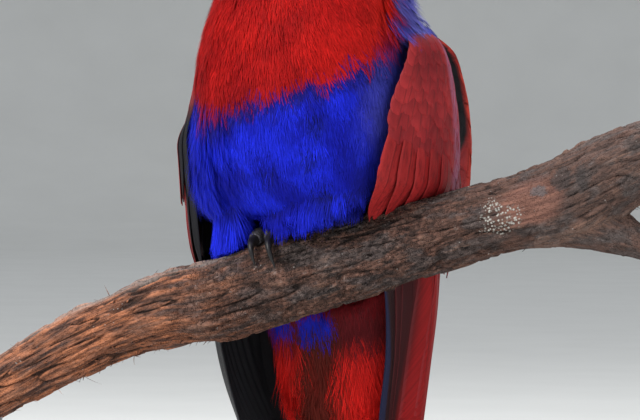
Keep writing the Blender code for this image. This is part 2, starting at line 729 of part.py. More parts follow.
feet, claws, legs = {}, [], {}
for side, word in ((LEFT, "left"), (RIGHT, "right")):
    foot_x = FEET_X[side]
    pieces = []
    for toe, (near_x, far_x, last, claw_last) in TOES.items():
        near_x, far_x = near_x * side, far_x * side
        if toe.startswith("front"):
            last, claw_last = last + FRONT_SHORT[side], claw_last + FRONT_SHORT[side]
        path = toe_path(foot_x, (near_x, far_x), FOOT_ANGLE, last, lambda share: 3.6 - 0.8 * share + 0.35, 5)
        radii = [TOE_RADII[0] + (TOE_RADII[-1] - TOE_RADII[0]) * k / 5 + (0.35 if k in (2, 4) else 0.0)
                 for k in range(6)]
        pieces.append(tube("toe", path, radii, FOOT_SKIN, 7))
        turn = 1 if claw_last > last else -1
        claw_path = toe_path(foot_x, (far_x, far_x * 1.12), last + turn * 1.2, claw_last, claw_height, 5)
        claw_radii = [2.05 * (1 - share / 5) ** 0.8 + 0.3 for share in range(6)]
        claws.append(tube("claw_" + word + "_" + toe, claw_path, claw_radii, HORN, 7))
    pad = branch_point(foot_x, math.radians(FOOT_ANGLE), 4.6)
    foot = ball("foot_" + word, pad, (6.0, 5.2, 4.2), FOOT_SKIN, 9, 6)
    fuse(foot, pieces)
    carve(foot, [branch], 0.3)
    feet[side] = foot
    knee = Vector((foot_x * 1.15, 22.0, pad.z + TARSUS_RISE + 14.0))
    leg = tube("leg_" + word, [pad, pad.lerp(knee, 0.2), pad.lerp(knee, 0.42), pad.lerp(knee, 0.7), knee],
               [4.0, 4.0, 5.4, 8.6, 9.0], FOOT_SKIN, 11)
    legs[side] = leg
for claw in claws:
    side = LEFT if "left" in claw.name else RIGHT
    carve(claw, [feet[side], branch], 0.3)


# Stand: a flat board, and two rods that hold the branch from below

base_mesh = bpy.data.meshes.new("stand_base")
base_shape = bmesh.new()
bmesh.ops.create_cube(base_shape, size=1.0)
bmesh.ops.scale(base_shape, vec=BASE_SIZE, verts=base_shape.verts)
bmesh.ops.translate(base_shape, vec=(0, 0, BASE_SIZE[2] / 2), verts=base_shape.verts)
upright = [e for e in base_shape.edges if abs(e.verts[0].co.z - e.verts[1].co.z) > 1]
bmesh.ops.bevel(base_shape, geom=upright, offset=14.0, segments=4, affect="EDGES", profile=0.5)
rim = [e for e in base_shape.edges if all(v.co.z > BASE_SIZE[2] - 0.01 for v in e.verts)]
bmesh.ops.bevel(base_shape, geom=rim, offset=1.6, segments=2, affect="EDGES", profile=0.5)
bmesh.ops.triangulate(base_shape, faces=base_shape.faces)
base_shape.to_mesh(base_mesh)
base_shape.free()
base_mesh.materials.append(STAND)
base = bpy.data.objects.new("stand_base", base_mesh)
bpy.context.scene.collection.objects.link(base)

ROD_SOCKET = 6.0
rods = []
for x, word in zip(ROD_X, ("right", "left")):
    middle, radius = branch_at(x)
    low = Vector((x + PERCH_X, middle.y + PERCH_Y, BASE_SIZE[2] - ROD_SOCKET))
    high = Vector((low.x, low.y, PERCH_HEIGHT + middle.z - radius + 7.0))
    rods.append(tube("stand_rod_" + word, [low, low.lerp(high, 0.5), high], [ROD_RADIUS] * 3, STEEL, 14))


# The parts are set clear of one another, then placed on the stand

BELLY_CLEARANCE = 10.6      # the feet's pads fit under the belly
unrolled = ROLLED.inverted()
for made in [branch, *feet.values(), *legs.values(), *claws]:
    made.data.transform(unrolled)
carve(torso, [branch], BELLY_CLEARANCE)
carve(torso, list(legs.values()))
for side, wing in wings.items():
    carve(wing, [torso, neck, branch], 0.5)
    carve(tail, [wing])
for side, leg in legs.items():
    carve(leg, [feet[side], branch])
carve(tail, [torso, branch])
for made in [torso, neck, head, bill_upper, bill_lower, tail, branch,
             *eyes.values(), *wings.values(), *feet.values(), *legs.values(), *claws]:
    place(made, PLACED)
for made in [base, *rods]:
    place(made, ON_STAND)
carve(base, rods, GAP * MM)
carve(branch, rods, GAP * MM)
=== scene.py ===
"""An eclectus parrot gripping a cut branch on a display stand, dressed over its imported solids.

Metres, +Z up. The bird's breast faces -Y and its left side is +X. The bird and its branch are worked out in
millimetres, in the same two frames as their solids, and turned to metres where each mesh is made."""

import math
import random

import bmesh
import bpy
import numpy as np
from mathutils import Matrix, Vector, noise
from mathutils.bvhtree import BVHTree


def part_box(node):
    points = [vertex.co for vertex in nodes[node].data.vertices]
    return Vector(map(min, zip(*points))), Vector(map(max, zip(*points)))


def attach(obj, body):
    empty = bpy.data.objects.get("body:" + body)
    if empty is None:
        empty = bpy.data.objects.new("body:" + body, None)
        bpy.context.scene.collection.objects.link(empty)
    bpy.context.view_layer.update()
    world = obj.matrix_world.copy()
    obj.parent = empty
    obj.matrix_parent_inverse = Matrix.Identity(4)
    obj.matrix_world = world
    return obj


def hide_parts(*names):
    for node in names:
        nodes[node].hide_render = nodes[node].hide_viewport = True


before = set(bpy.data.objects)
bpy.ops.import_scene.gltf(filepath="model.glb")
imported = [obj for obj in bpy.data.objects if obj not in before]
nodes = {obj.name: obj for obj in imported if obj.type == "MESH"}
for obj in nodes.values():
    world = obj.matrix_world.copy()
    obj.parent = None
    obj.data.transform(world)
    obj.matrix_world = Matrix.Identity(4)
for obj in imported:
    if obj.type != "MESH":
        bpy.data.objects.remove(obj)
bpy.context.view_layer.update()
random.seed(11)


# The camera stands level with the breast, a little to the bird's left, with a long lens.
# One millimetre in the photo's plane is measured through the branch under the feet.

MM = 0.001
PERCH = Vector((-8.5, -14.0, 178.0)) * MM         # the branch's axis between the feet
PHOTO_AZIMUTH, PHOTO_ELEVATION = math.radians(20.0), math.radians(1.0)
PHOTO_CENTRE = Vector((5.6, 2.05, 25.4)) * MM      # the frame's centre, from the perch
PHOTO_WIDTH = 249.6 * MM                           # what the frame is wide, at the perch
CAMERA_AWAY = 1.6

camera_data = bpy.data.cameras.new("camera")
camera = bpy.data.objects.new("camera", camera_data)
bpy.context.scene.collection.objects.link(camera)
toward_camera = Vector((
    math.sin(PHOTO_AZIMUTH) * math.cos(PHOTO_ELEVATION),
    -math.cos(PHOTO_AZIMUTH) * math.cos(PHOTO_ELEVATION),
    math.sin(PHOTO_ELEVATION),
))
camera.location = PERCH + PHOTO_CENTRE + toward_camera * CAMERA_AWAY
camera.rotation_euler = toward_camera.to_track_quat("Z", "Y").to_euler()
camera_data.sensor_width = 36.0
camera_data.lens = camera_data.sensor_width * CAMERA_AWAY / PHOTO_WIDTH
camera_data.clip_start = 0.05
bpy.context.scene.camera = camera
bpy.context.scene.view_settings.view_transform = "Standard"


# The studio is a seamless pale bowl, a floor that curves up into its wall far from the stand.
# It is a disc whose rim is drawn out and up in edit mode, with a fine matt grain.

class Socket:
    """One socket of a material. Sums, products and powers of sockets and numbers add their Math nodes."""

    def __init__(self, tree, socket):
        self.tree = tree
        self.socket = socket

    def math(self, operation, *others):
        node = self.tree.nodes.new("ShaderNodeMath")
        node.operation = operation
        for place, value in enumerate((self, *others)):
            if isinstance(value, Socket):
                self.tree.links.new(value.socket, node.inputs[place])
            else:
                node.inputs[place].default_value = value
        return Socket(self.tree, node.outputs[0])

    def __add__(self, other):
        return self.math("ADD", other)

    def __radd__(self, other):
        return self.math("ADD", other)

    def __sub__(self, other):
        return self.math("SUBTRACT", other)

    def __rsub__(self, other):
        return self.math("MULTIPLY", -1.0).math("ADD", other)

    def __mul__(self, other):
        return self.math("MULTIPLY", other)

    def __rmul__(self, other):
        return self.math("MULTIPLY", other)

    def __truediv__(self, other):
        return self.math("DIVIDE", other)

    def __pow__(self, other):
        return self.math("POWER", other)

    def rise(self, low, high):
        """0 below low, 1 above high and a smooth turn between. Low may be above high, which turns it round."""
        node = self.tree.nodes.new("ShaderNodeMapRange")
        node.interpolation_type = "SMOOTHSTEP"
        flipped = low > high
        self.tree.links.new(self.socket, node.inputs["Value"])
        node.inputs["From Min"].default_value = min(low, high)
        node.inputs["From Max"].default_value = max(low, high)
        node.inputs["To Min"].default_value = 1.0 if flipped else 0.0
        node.inputs["To Max"].default_value = 0.0 if flipped else 1.0
        return Socket(self.tree, node.outputs["Result"])


class Finish:
    """A material while it is put together. The numbers that hold all over go straight on its shader."""

    def __init__(self, name, **steady):
        self.material = bpy.data.materials.new(name)
        self.material.use_nodes = True
        self.tree = self.material.node_tree
        self.shader = self.tree.nodes["Principled BSDF"]
        for word, value in steady.items():
            self.shader.inputs[word.replace("_", " ").title().replace("Ior", "IOR")].default_value = value

    def node(self, kind, settings=None, output=0, **inputs):
        """A node of any type: its settings are set first, then its sockets by name, with spaces as _."""
        node = self.tree.nodes.new("ShaderNode" + kind)
        for word, value in (settings or {}).items():
            if word == "stops":
                ramp = node.color_ramp
                while len(ramp.elements) < len(value):
                    ramp.elements.new(0.5)
                for element, (place, colour) in zip(ramp.elements, value):
                    element.position = place
                    element.color = (*colour, 1.0)
            else:
                setattr(node, word, value)
        for word, value in inputs.items():
            socket = node.inputs[int(word[1:])] if word[0] == "i" and word[1:].isdigit() \
                else node.inputs[word.replace("_", " ")]
            if isinstance(value, Socket):
                self.tree.links.new(value.socket, socket)
            elif isinstance(value, tuple) and len(value) == 3 and socket.type == "RGBA":
                socket.default_value = (*value, 1.0)
            else:
                socket.default_value = value
        return Socket(self.tree, node.outputs[output])

    def place(self):
        """Where a point is on the object, in metres."""
        return self.node("TexCoord", output="Object")

    def marked(self, name):
        """What the mesh says at a point under this name."""
        return self.node("Attribute", {"attribute_name": name}, output="Vector")

    def parts(self, vector):
        """The x, y and z of a vector."""
        x = self.node("SeparateXYZ", Vector=vector)
        split = x.socket.node
        return [Socket(self.tree, split.outputs[k]) for k in range(3)]

    def stretched(self, vector, x, y, z):
        """A vector with its parts multiplied, which draws a pattern out along the smallest of them."""
        return self.node("VectorMath", {"operation": "MULTIPLY"}, i0=vector, i1=(x, y, z))

    def grain(self, at, scale, detail=2.0, roughness=0.5, distortion=0.0):
        """Soft cloudy noise from 0 to 1."""
        return self.node("TexNoise", Vector=at, Scale=scale, Detail=detail, Roughness=roughness,
                         Distortion=distortion)

    def cells(self, at, scale, feature="F1", randomness=1.0):
        """The distance to the nearest cell's middle or, for DISTANCE_TO_EDGE, to its edge."""
        return self.node("TexVoronoi", {"feature": feature}, output="Distance", Vector=at, Scale=scale,
                         Randomness=randomness)

    def mix(self, share, first, second, blend="MIX"):
        """A colour between two colours."""
        return self.node("Mix", {"data_type": "RGBA", "blend_type": blend}, output=2,
                         i0=share, i6=first, i7=second)

    def lift(self, height, distance, strength=1.0):
        """Bumps whose height is in metres for each unit of a socket."""
        normal = self.node("Bump", Strength=strength, Distance=distance, Height=height)
        self.tree.links.new(normal.socket, self.shader.inputs["Normal"])

    def feed(self, **sockets):
        """Links that vary over the surface."""
        for word, value in sockets.items():
            self.tree.links.new(value.socket, self.shader.inputs[word.replace("_", " ")])
        return self.material


def start_fresh():
    """Leaves edit mode and deselects everything."""
    if bpy.context.mode != "OBJECT":
        bpy.ops.object.mode_set(mode="OBJECT")
    bpy.ops.object.select_all(action="DESELECT")


FLOOR_RADIUS = 7.0
WALL_STEPS = ((0.5, 0.05), (0.45, 0.22), (0.30, 0.50), (0.10, 1.0), (0.0, 3.5))   # out and up, m

start_fresh()
bpy.ops.mesh.primitive_circle_add(vertices=128, radius=FLOOR_RADIUS, fill_type="NGON", location=(0, 0, 0))
studio = bpy.context.object
studio.name = "studio"
bpy.ops.object.mode_set(mode="EDIT")
bpy.ops.mesh.select_mode(type="EDGE")
bpy.ops.mesh.select_all(action="SELECT")
reach = FLOOR_RADIUS
for out, up in WALL_STEPS:
    bpy.ops.mesh.extrude_edges_move(TRANSFORM_OT_translate={"value": (0, 0, up)})
    bpy.ops.transform.resize(value=((reach + out) / reach, (reach + out) / reach, 1.0))
    reach += out
bpy.ops.object.mode_set(mode="OBJECT")
bpy.ops.object.shade_smooth()
paper = Finish("studio_paper", roughness=0.95, specular_ior_level=0.1)
paper_tone = paper.grain(paper.place(), 9.0, 3.0)
studio.data.materials.append(paper.feed(Base_Color=paper.mix(paper_tone, (0.62, 0.62, 0.60), (0.68, 0.68, 0.66))))

LAMPS = (  # name, place, width, power, colour
    ("key", (-0.9, -1.5, 1.6), 1.0, 44.0, (1.0, 0.98, 0.95)),
    ("fill", (1.7, -1.2, 0.7), 1.2, 9.0, (0.94, 0.97, 1.0)),
    ("top", (0.1, 0.2, 2.0), 1.2, 26.0, (1.0, 1.0, 1.0)),
    ("back", (-0.9, 1.1, 1.5), 1.0, 12.0, (0.96, 0.98, 1.0)),
)
for name, at, width, power, colour in LAMPS:
    lamp_data = bpy.data.lights.new(name, "AREA")
    lamp_data.size = width
    lamp_data.energy = power
    lamp_data.color = colour
    lamp = bpy.data.objects.new(name, lamp_data)
    lamp.location = at
    lamp.rotation_euler = (Vector(at) - Vector((0, 0, 0.2))).to_track_quat("Z", "Y").to_euler()
    bpy.context.scene.collection.objects.link(lamp)
sky = bpy.data.worlds.new("studio_air")
sky.use_nodes = True
sky.node_tree.nodes["Background"].inputs["Color"].default_value = (0.90, 0.94, 1.0, 1.0)
sky.node_tree.nodes["Background"].inputs["Strength"].default_value = 0.80
bpy.context.scene.world = sky


# The stand's board is one plank of oiled walnut with a rounded rim, sanded and left with a satin finish.
# Its solid is right as it is, so it only gets its wood: long grain with growth rings, pores and end grain.

board = nodes["stand_base"]
walnut = Finish("oiled_walnut", specular_ior_level=0.4)
board_at = walnut.place()
board_wave = walnut.grain(walnut.stretched(board_at, 2.5, 14.0, 14.0), 2.0, 3.0)
bx, by, bz = walnut.parts(board_at)
ring_depth = ((by + 0.055 + bx * 0.05) ** 2.0 + (bz + 0.075) ** 2.0) ** 0.5
rings = ((ring_depth + board_wave * 0.012) * 900.0).math("SINE") * 0.5 + 0.5
pores = walnut.grain(walnut.stretched(board_at, 90.0, 1500.0, 1500.0), 1.0, 2.0).rise(0.60, 0.72)
streaks = walnut.grain(walnut.stretched(board_at, 12.0, 420.0, 420.0), 1.0, 4.0, 0.6)
board_colour = walnut.mix(rings.rise(0.15, 0.95), (0.115, 0.055, 0.028), (0.205, 0.108, 0.058))
board_colour = walnut.mix(streaks.rise(0.35, 0.75) * 0.55, board_colour, (0.085, 0.040, 0.022))
board_colour = walnut.mix(pores * 0.7, board_colour, (0.035, 0.017, 0.010))
walnut.lift(pores * -1.0 + streaks * 0.5, 0.00012, 0.5)
board.data.materials.clear()
board.data.materials.append(walnut.feed(
    Base_Color=board_colour, Roughness=0.40 + streaks * 0.14 + pores * 0.2))


# The two rods are ground steel bar with a fine brushed finish and a small chamfer at each end.
# They stand in bored holes in the board and carry the branch from below.

ROD_SIDES = 48
steel = Finish("brushed_rod_steel", metallic=1.0)
steel_at = steel.place()
brushing = steel.grain(steel.stretched(steel_at, 1800.0, 1800.0, 60.0), 1.0, 2.0)
smears = steel.grain(steel_at, 45.0, 3.0)
steel.lift(brushing, 0.00004, 0.35)
steel.feed(
    Base_Color=steel.mix(smears, (0.46, 0.46, 0.47), (0.60, 0.60, 0.61)),
    Roughness=0.24 + brushing * 0.14 + smears.rise(0.5, 0.8) * 0.12)
for word in ("left", "right"):
    low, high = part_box("stand_rod_" + word)
    middle = (low + high) / 2
    start_fresh()
    bpy.ops.mesh.primitive_cylinder_add(
        vertices=ROD_SIDES, radius=(high.x - low.x) / 2, depth=high.z - low.z, location=middle)
    rod = bpy.context.object
    rod.name = "rod_bar_" + word
    bpy.ops.object.transform_apply(location=True, rotation=True, scale=True)
    chamfer = rod.modifiers.new("chamfer", "BEVEL")
    chamfer.width = 0.0005
    chamfer.segments = 2
    bpy.ops.object.modifier_apply(modifier="chamfer")
    bpy.ops.object.shade_smooth_by_angle(angle=math.radians(40))
    rod.data.materials.append(steel.material)
    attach(rod, "root")
    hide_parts("stand_rod_" + word)


# The branch is a cut length of a weathered limb. Its bark has split along its length into fibrous strips,
# is worn smooth in one place, and has a few knots, and a side limb leaves it low on the bird's left.
# It is a roll closed on itself, drawn along the solid's own axis, with the grain pressed into its surface.

BRANCH = [  # x, z and radius along its axis, upright, from the perch, mm
    (-142.0, -53.0, 10.4),
    (-121.0, -41.5, 11.6),
    (-100.0, -31.0, 12.7),
    (-76.0, -20.3, 13.4),
    (-54.0, -13.2, 15.0),
    (-32.0, -9.6, 16.0),
    (-10.0, -2.6, 16.5),
    (12.0, 4.5, 16.4),
    (36.0, 11.3, 15.6),
    (62.0, 18.8, 14.4),
    (86.0, 25.0, 14.6),
    (108.0, 31.4, 15.6),
    (130.0, 42.0, 15.0),
    (146.0, 48.5, 13.6),
    (160.0, 52.5, 13.2),
]
LIMB = [
    (92.0, 24.0, 8.0),
    (108.0, 21.5, 9.6),
    (122.0, 18.0, 8.6),
    (134.0, 14.6, 7.2),
    (143.0, 11.0, 6.6),
]
BRANCH_ROWS, BRANCH_SIDES = 400, 200
LIMB_ROWS, LIMB_SIDES = 90, 96
FAIRING = 7.0             # how softly the limb runs into the branch
END_ROUND = 1.1           # the worn edge of each cut end
BARE_PATCH = (97.0, 13.0, 8.0)       # x and half length of the worn patch, and its angle up the front
KNOTS = (  # x, angle up from the front, size, height
    (-88.0, 118.0, 6.5, 1.1),
    (-44.0, 28.0, 4.5, 0.8),
    (52.0, 60.0, 5.0, 0.9),
    (71.0, 205.0, 6.0, 1.2),
    (118.0, 96.0, 7.5, 1.5),
    (136.0, 150.0, 5.0, 1.0),
)


def smoothstep(low, high, value):
    """0 below low, 1 above high, and a smooth turn between. Takes arrays too."""
    share = np.clip((value - low) / (high - low), 0.0, 1.0)
    return share * share * (3 - 2 * share)


def spline(table, place):
    """The row of a table at a place from 0 to its last index, on a smooth curve through its rows."""
    table = np.asarray(table, float)
    last = len(table) - 1
    place = np.clip(np.asarray(place, float), 0.0, last)
    index = np.minimum(place.astype(int), last - 1)
    t = (place - index)[..., None]
    a, b, c, d = (table[np.clip(index + k, 0, last)] for k in (-1, 0, 1, 2))
    return 0.5 * (2 * b + (c - a) * t + (2 * a - 5 * b + 4 * c - d) * t * t + (3 * b - a - 3 * c + d) * t ** 3)


def branch_at(x):
    """The branch's axis points and radii at an array of x."""
    x = np.asarray(x, float)
    span = BRANCH[-1][0] - BRANCH[0][0]
    share = (x - BRANCH[0][0]) / span * (len(BRANCH) - 1)
    for _ in range(6):
        share = share - (spline(BRANCH, share)[..., 0] - x) / span * (len(BRANCH) - 1)
    row = spline(BRANCH, share)
    return np.stack([x, 2.0 * np.sin(x / 38.0), row[..., 1]], -1), row[..., 2]


def branch_point(x, angle, height=0.0):
    """Points over the branch, upright, from the perch: angle 0 is its front, a quarter turn its top."""
    middle, radius = branch_at(x)
    slope = branch_at(np.asarray(x) + 1.0)[0] - branch_at(np.asarray(x) - 1.0)[0]
    slope /= np.linalg.norm(slope, axis=-1, keepdims=True)
    up = np.cross(np.array([0.0, 1.0, 0.0]), slope)
    up *= np.sign(up[..., 2:])
    reach = (radius + height)[..., None]
    return middle + up * (np.sin(angle)[..., None] * reach) + np.array([0.0, -1.0, 0.0]) * (
        np.cos(angle)[..., None] * reach)


def cloud(points, size, octaves=1):
    """Smooth noise from about -1 to 1 at an array of points, with lumps of a size."""
    return np.array([noise.fractal(Vector(p), 1.0, 2.0, octaves) if octaves > 1 else noise.noise(Vector(p))
                     for p in points / np.asarray(size, float)])


def set_mark(mesh, name, values):
    """Stores a vector at each vertex under a name that materials read."""
    mark = mesh.attributes.new(name, "FLOAT_VECTOR", "POINT")
    mark.data.foreach_set("vector", np.asarray(values, np.float32).ravel())


def points_of(mesh):
    """A mesh's vertices as an array of rows."""
    flat = np.empty(len(mesh.vertices) * 3, np.float32)
    mesh.vertices.foreach_get("co", flat)
    return flat.reshape(-1, 3).astype(float)


def set_points(mesh, points):
    mesh.vertices.foreach_set("co", np.asarray(points, np.float32).ravel())
    mesh.update()


def settle(made, matrix):
    """Turns a finished piece's points from its own frame in millimetres to the part's in metres."""
    made.data.transform(matrix)
    made.data.update()


UPRIGHT = Matrix.Translation(PERCH) @ Matrix.Scale(MM, 4)


def bark_height(straight, around, length_on, radius, tame=1.0):
    """How far the bark stands over or under its own middle, mm, at points given as though it lay straight."""
    x = length_on
    lumps = 1.0 * cloud(straight, (24.0, 13.0, 13.0), 2)
    fibres = cloud(straight, (15.0, 1.9, 1.9), 2)
    fine = cloud(straight + 40.0, (7.0, 0.95, 0.95))
    splits = np.abs(cloud(straight + 90.0, (30.0, 4.4, 4.4)))
    flakes = cloud(straight + 150.0, (10.0, 5.5, 5.5), 2)
    dx = (x - BARE_PATCH[0]) / BARE_PATCH[1]
    turn = (around - math.radians(BARE_PATCH[2])) / 0.62
    worn = smoothstep(1.25, 0.7, np.sqrt(dx ** 2 + turn ** 2) + 0.25 * fibres)
    rough = (1.0 - 0.88 * worn) * tame
    coarse = 0.75 + 0.45 * smoothstep(0.0, -60.0, x)
    height = lumps * (1.0 - 0.5 * worn)
    height += rough * coarse * (0.62 * fibres + 0.26 * fine)
    height -= rough * 1.15 * smoothstep(0.085, 0.0, splits)
    height += rough * 0.55 * smoothstep(0.10, 0.16, flakes)
    height -= 0.45 * worn
    for knot_x, degrees, size, rise in KNOTS if tame == 1.0 else ():
        off = np.sqrt((x - knot_x) ** 2 * 0.6
                      + (radius * np.angle(np.exp(1j * (around - math.radians(degrees))))) ** 2) / size
        height += rise * (np.exp(-off ** 2 * 1.4) - 0.9 * np.exp(-(off * 3.4) ** 2))
        height += 0.3 * rise * np.sin(off * 13.0) * np.exp(-(off - 0.7) ** 2 * 4.0)
    return height, worn


def nearness(points, table_points, radii):
    """How far points are from a round bar given by points along its axis, less its radius there."""
    best = np.full(len(points), 1e9)
    for start, end, first, second in zip(table_points, table_points[1:], radii, radii[1:]):
        along = end - start
        share = np.clip(((points - start) @ along) / (along @ along), 0.0, 1.0)
        away = np.linalg.norm(points - start - share[:, None] * along, axis=1)
        best = np.minimum(best, away - (first + (second - first) * share))
    return best


def roll(name, rows, sides):
    """A grid rolled into a tube and closed along its side: a mesh of rows of points, still to be shaped."""
    start_fresh()
    bpy.ops.mesh.primitive_grid_add(x_subdivisions=sides, y_subdivisions=rows, size=2.0)
    made = bpy.context.object
    made.name = name
    grid = points_of(made.data)
    around = (grid[:, 0] + 1.0) * math.pi
    on = (grid[:, 1] + 1.0) / 2.0
    set_points(made.data, np.stack([on * 9.0, -np.cos(around), np.sin(around)], 1))
    bpy.ops.object.mode_set(mode="EDIT")
    bpy.ops.mesh.select_all(action="SELECT")
    bpy.ops.mesh.remove_doubles(threshold=1e-5)
    for end in (0.0, 9.0):
        bpy.ops.mesh.select_all(action="DESELECT")
        bpy.ops.mesh.select_mode(type="EDGE")
        shape = bmesh.from_edit_mesh(made.data)
        for edge in shape.edges:
            edge.select = edge.is_boundary and all(abs(v.co.x - end) < 1e-4 for v in edge.verts)
        shape.select_flush_mode()
        bmesh.update_edit_mesh(made.data)
        for _ in range(6):
            bpy.ops.mesh.extrude_edges_move()
            bpy.ops.transform.resize(value=(1.0, 0.72, 0.72), center_override=(end, 0, 0))
        bpy.ops.mesh.edge_face_add()
        bpy.ops.mesh.poke()
    bpy.ops.mesh.select_all(action="SELECT")
    bpy.ops.mesh.normals_make_consistent(inside=False)
    bpy.ops.object.mode_set(mode="OBJECT")
    bpy.ops.object.shade_smooth()
    start = points_of(made.data)
    reach = np.hypot(start[:, 1], start[:, 2])
    return made, start[:, 0] / 9.0, np.arctan2(start[:, 2], -start[:, 1]), reach


def cut_faces(made, on, slot):
    """Gives the sawn ends of a roll their own finish."""
    ends = (on < 1e-6) | (on > 1 - 1e-6)
    for face in made.data.polygons:
        if all(ends[v] for v in face.vertices):
            face.material_index = slot


limb_places = np.array([[x, float(branch_at(x)[0][1]) + 1.5, z] for x, z, _ in LIMB])
limb_radii = np.array([radius for _, _, radius in LIMB])
axis_x = np.linspace(BRANCH[0][0], BRANCH[-1][0], 60)
axis_places, axis_radii = branch_at(axis_x)


def fairing(away):
    """How far a surface swells where another form comes near it."""
    return np.maximum(FAIRING - np.abs(away), 0.0) ** 2 / (4.0 * FAIRING)


branch, on, around, reach = roll("branch_bark", BRANCH_ROWS, BRANCH_SIDES)
x = BRANCH[0][0] + (BRANCH[-1][0] - BRANCH[0][0]) * on
radius = branch_at(x)[1]
straight = np.stack([x, -np.cos(around) * radius, np.sin(around) * radius], 1)
height, worn = bark_height(straight, around, x, radius)
plain = branch_point(x, around, np.zeros(len(x)))
height += fairing(nearness(plain, limb_places, limb_radii))
from_end = np.minimum(x - BRANCH[0][0], BRANCH[-1][0] - x)
height -= END_ROUND * np.maximum(0.0, 1 - from_end / END_ROUND) ** 2
shaped = branch_point(x, around, (radius + height - 0.35) * reach - radius)
sawn = (on < 1e-6) | (on > 1 - 1e-6)
saw_marks = 0.16 * np.sin(shaped[:, 2] * 2.6 + 0.7 * np.sin(shaped[:, 1] * 0.4)) * sawn
shaped[:, 0] += saw_marks * np.sign(x) * -1.0 - 0.2 * np.sign(x) * sawn
set_points(branch.data, shaped)
set_mark(branch.data, "straight", straight * np.stack([np.ones_like(reach), reach, reach], 1) * MM)
set_mark(branch.data, "wear", np.stack([worn, np.clip(height, -3, 3) / 3, reach], 1))
settle(branch, UPRIGHT)

limb, on, around, reach = roll("branch_limb", LIMB_ROWS, LIMB_SIDES)
row = spline(np.column_stack([limb_places, limb_radii]), on * (len(LIMB) - 1))
ahead = spline(limb_places, np.minimum(on + 0.02, 1.0) * (len(LIMB) - 1))
behind = spline(limb_places, np.maximum(on - 0.02, 0.0) * (len(LIMB) - 1))
slope = ahead - behind
slope /= np.linalg.norm(slope, axis=1, keepdims=True)
up = np.cross(np.array([0.0, 1.0, 0.0]), slope)
up *= np.sign(up[:, 2:])
radius = row[:, 3]
straight = np.stack([row[:, 0], -np.cos(around) * radius, np.sin(around) * radius], 1)
limb_height, limb_worn = bark_height(straight + 300.0, around, row[:, 0] - 200.0, radius, 0.8)
outward = up * np.sin(around)[:, None] + np.array([0.0, -1.0, 0.0]) * np.cos(around)[:, None]
plain = row[:, :3] + outward * radius[:, None]
limb_height = limb_height * 0.7 + fairing(nearness(plain, axis_places, axis_radii))
limb_height -= END_ROUND * np.maximum(0.0, 1 - (1 - on) * 52.0 / END_ROUND) ** 2
set_points(limb.data, row[:, :3] + outward * ((radius + limb_height - 0.35) * reach)[:, None])
set_mark(limb.data, "straight", straight * np.stack([np.ones_like(reach), reach, reach], 1) * MM)
set_mark(limb.data, "wear", np.stack([limb_worn * 0, np.clip(limb_height, -3, 3) / 3, reach], 1))
settle(limb, UPRIGHT)

FRONT_SPOTS = (  # places on the bark's front that differ: x, z from the perch, half length, half height
    ("lichen", 83.0, 23.0, 8.5, 7.0),
    ("grey", 98.5, 33.0, 4.2, 2.6),
    ("dark", 108.5, 37.5, 4.0, 5.0),
    ("dark", 116.5, 38.0, 3.0, 6.0),
)

bark = Finish("weathered_bark", specular_ior_level=0.22)
lie = bark.marked("straight")
sx, sy, sz = bark.parts(lie)
wear, rise, reached = bark.parts(bark.marked("wear"))
px, py, pz = bark.parts(bark.place())
fibre = bark.grain(bark.stretched(lie, 55.0, 700.0, 700.0), 1.0, 5.0, 0.62)
thread = bark.grain(bark.stretched(lie, 170.0, 2600.0, 2600.0), 1.0, 3.0, 0.65)
patches = bark.grain(bark.stretched(lie, 26.0, 70.0, 70.0), 1.0, 4.0, 0.6)
stains = bark.grain(bark.stretched(lie, 40.0, 95.0, 95.0), 1.7, 3.0, 0.55)
grit = bark.grain(lie, 1500.0, 2.0)
leftward = sx.rise(0.010, -0.070)
rightward = sx.rise(0.060, 0.135)
middling = sx.rise(-0.062, -0.030) * sx.rise(0.085, 0.050)
crust = bark.grain(bark.stretched(lie, 300.0, 520.0, 520.0), 1.0, 5.0, 0.72)
chips = bark.grain(bark.stretched(lie, 120.0, 300.0, 300.0), 1.0, 4.0, 0.70)
colour = bark.mix(fibre.rise(0.30, 0.68), (0.046, 0.026, 0.021), (0.130, 0.070, 0.054))
warm = bark.mix(fibre.rise(0.36, 0.64), (0.070, 0.024, 0.014), (0.640, 0.235, 0.110))
colour = bark.mix(leftward * patches.rise(0.30, 0.52), colour, warm)
colour = bark.mix(thread.rise(0.42, 0.72) * 0.45, colour, (0.250, 0.125, 0.085))
colour = bark.mix(thread.rise(0.50, 0.28) * 0.55, colour, (0.022, 0.012, 0.011))
rusty = bark.mix(crust.rise(0.40, 0.66), (0.020, 0.014, 0.013), (0.190, 0.090, 0.064))
colour = bark.mix((0.30 + middling * 0.48 - leftward * 0.16) * chips.rise(0.36, 0.56), colour, rusty)
greyed = stains.rise(0.46, 0.60) * (1.0 - leftward * 0.55)
colour = bark.mix(greyed * 0.65, colour, bark.mix(crust.rise(0.35, 0.68), (0.016, 0.015, 0.016), (0.115, 0.105, 0.105)))
# Painted shade and highlight: the bark's deepest grooves are darkened nearly to black, and its high ridges are
# lightened to pale tan
colour = bark.mix(rise.rise(-0.06, -0.34) * 0.85, colour, (0.014, 0.009, 0.008))
colour = bark.mix(rise.rise(0.20, 0.44) * thread.rise(0.30, 0.60) * 0.40, colour, (0.330, 0.180, 0.125))
colour = bark.mix(crust.rise(0.60, 0.72) * (0.25 + middling * 0.35), colour, (0.270, 0.215, 0.190))
bare = bark.mix(fibre.rise(0.35, 0.70), (0.150, 0.062, 0.045), (0.310, 0.140, 0.098))
colour = bark.mix(wear * 0.88, colour, bare)
top_rim = (sz / ((sy * sy + sz * sz) ** 0.5 + 0.0001)).rise(0.72, 0.97) * sx.rise(0.0, -0.03)
colour = bark.mix(top_rim * patches.rise(0.36, 0.60) * 0.55, colour, (0.330, 0.290, 0.265))
specks = bark.cells(lie, 560.0).rise(0.20, 0.10) * bark.grain(lie, 120.0, 2.0).rise(0.56, 0.66)
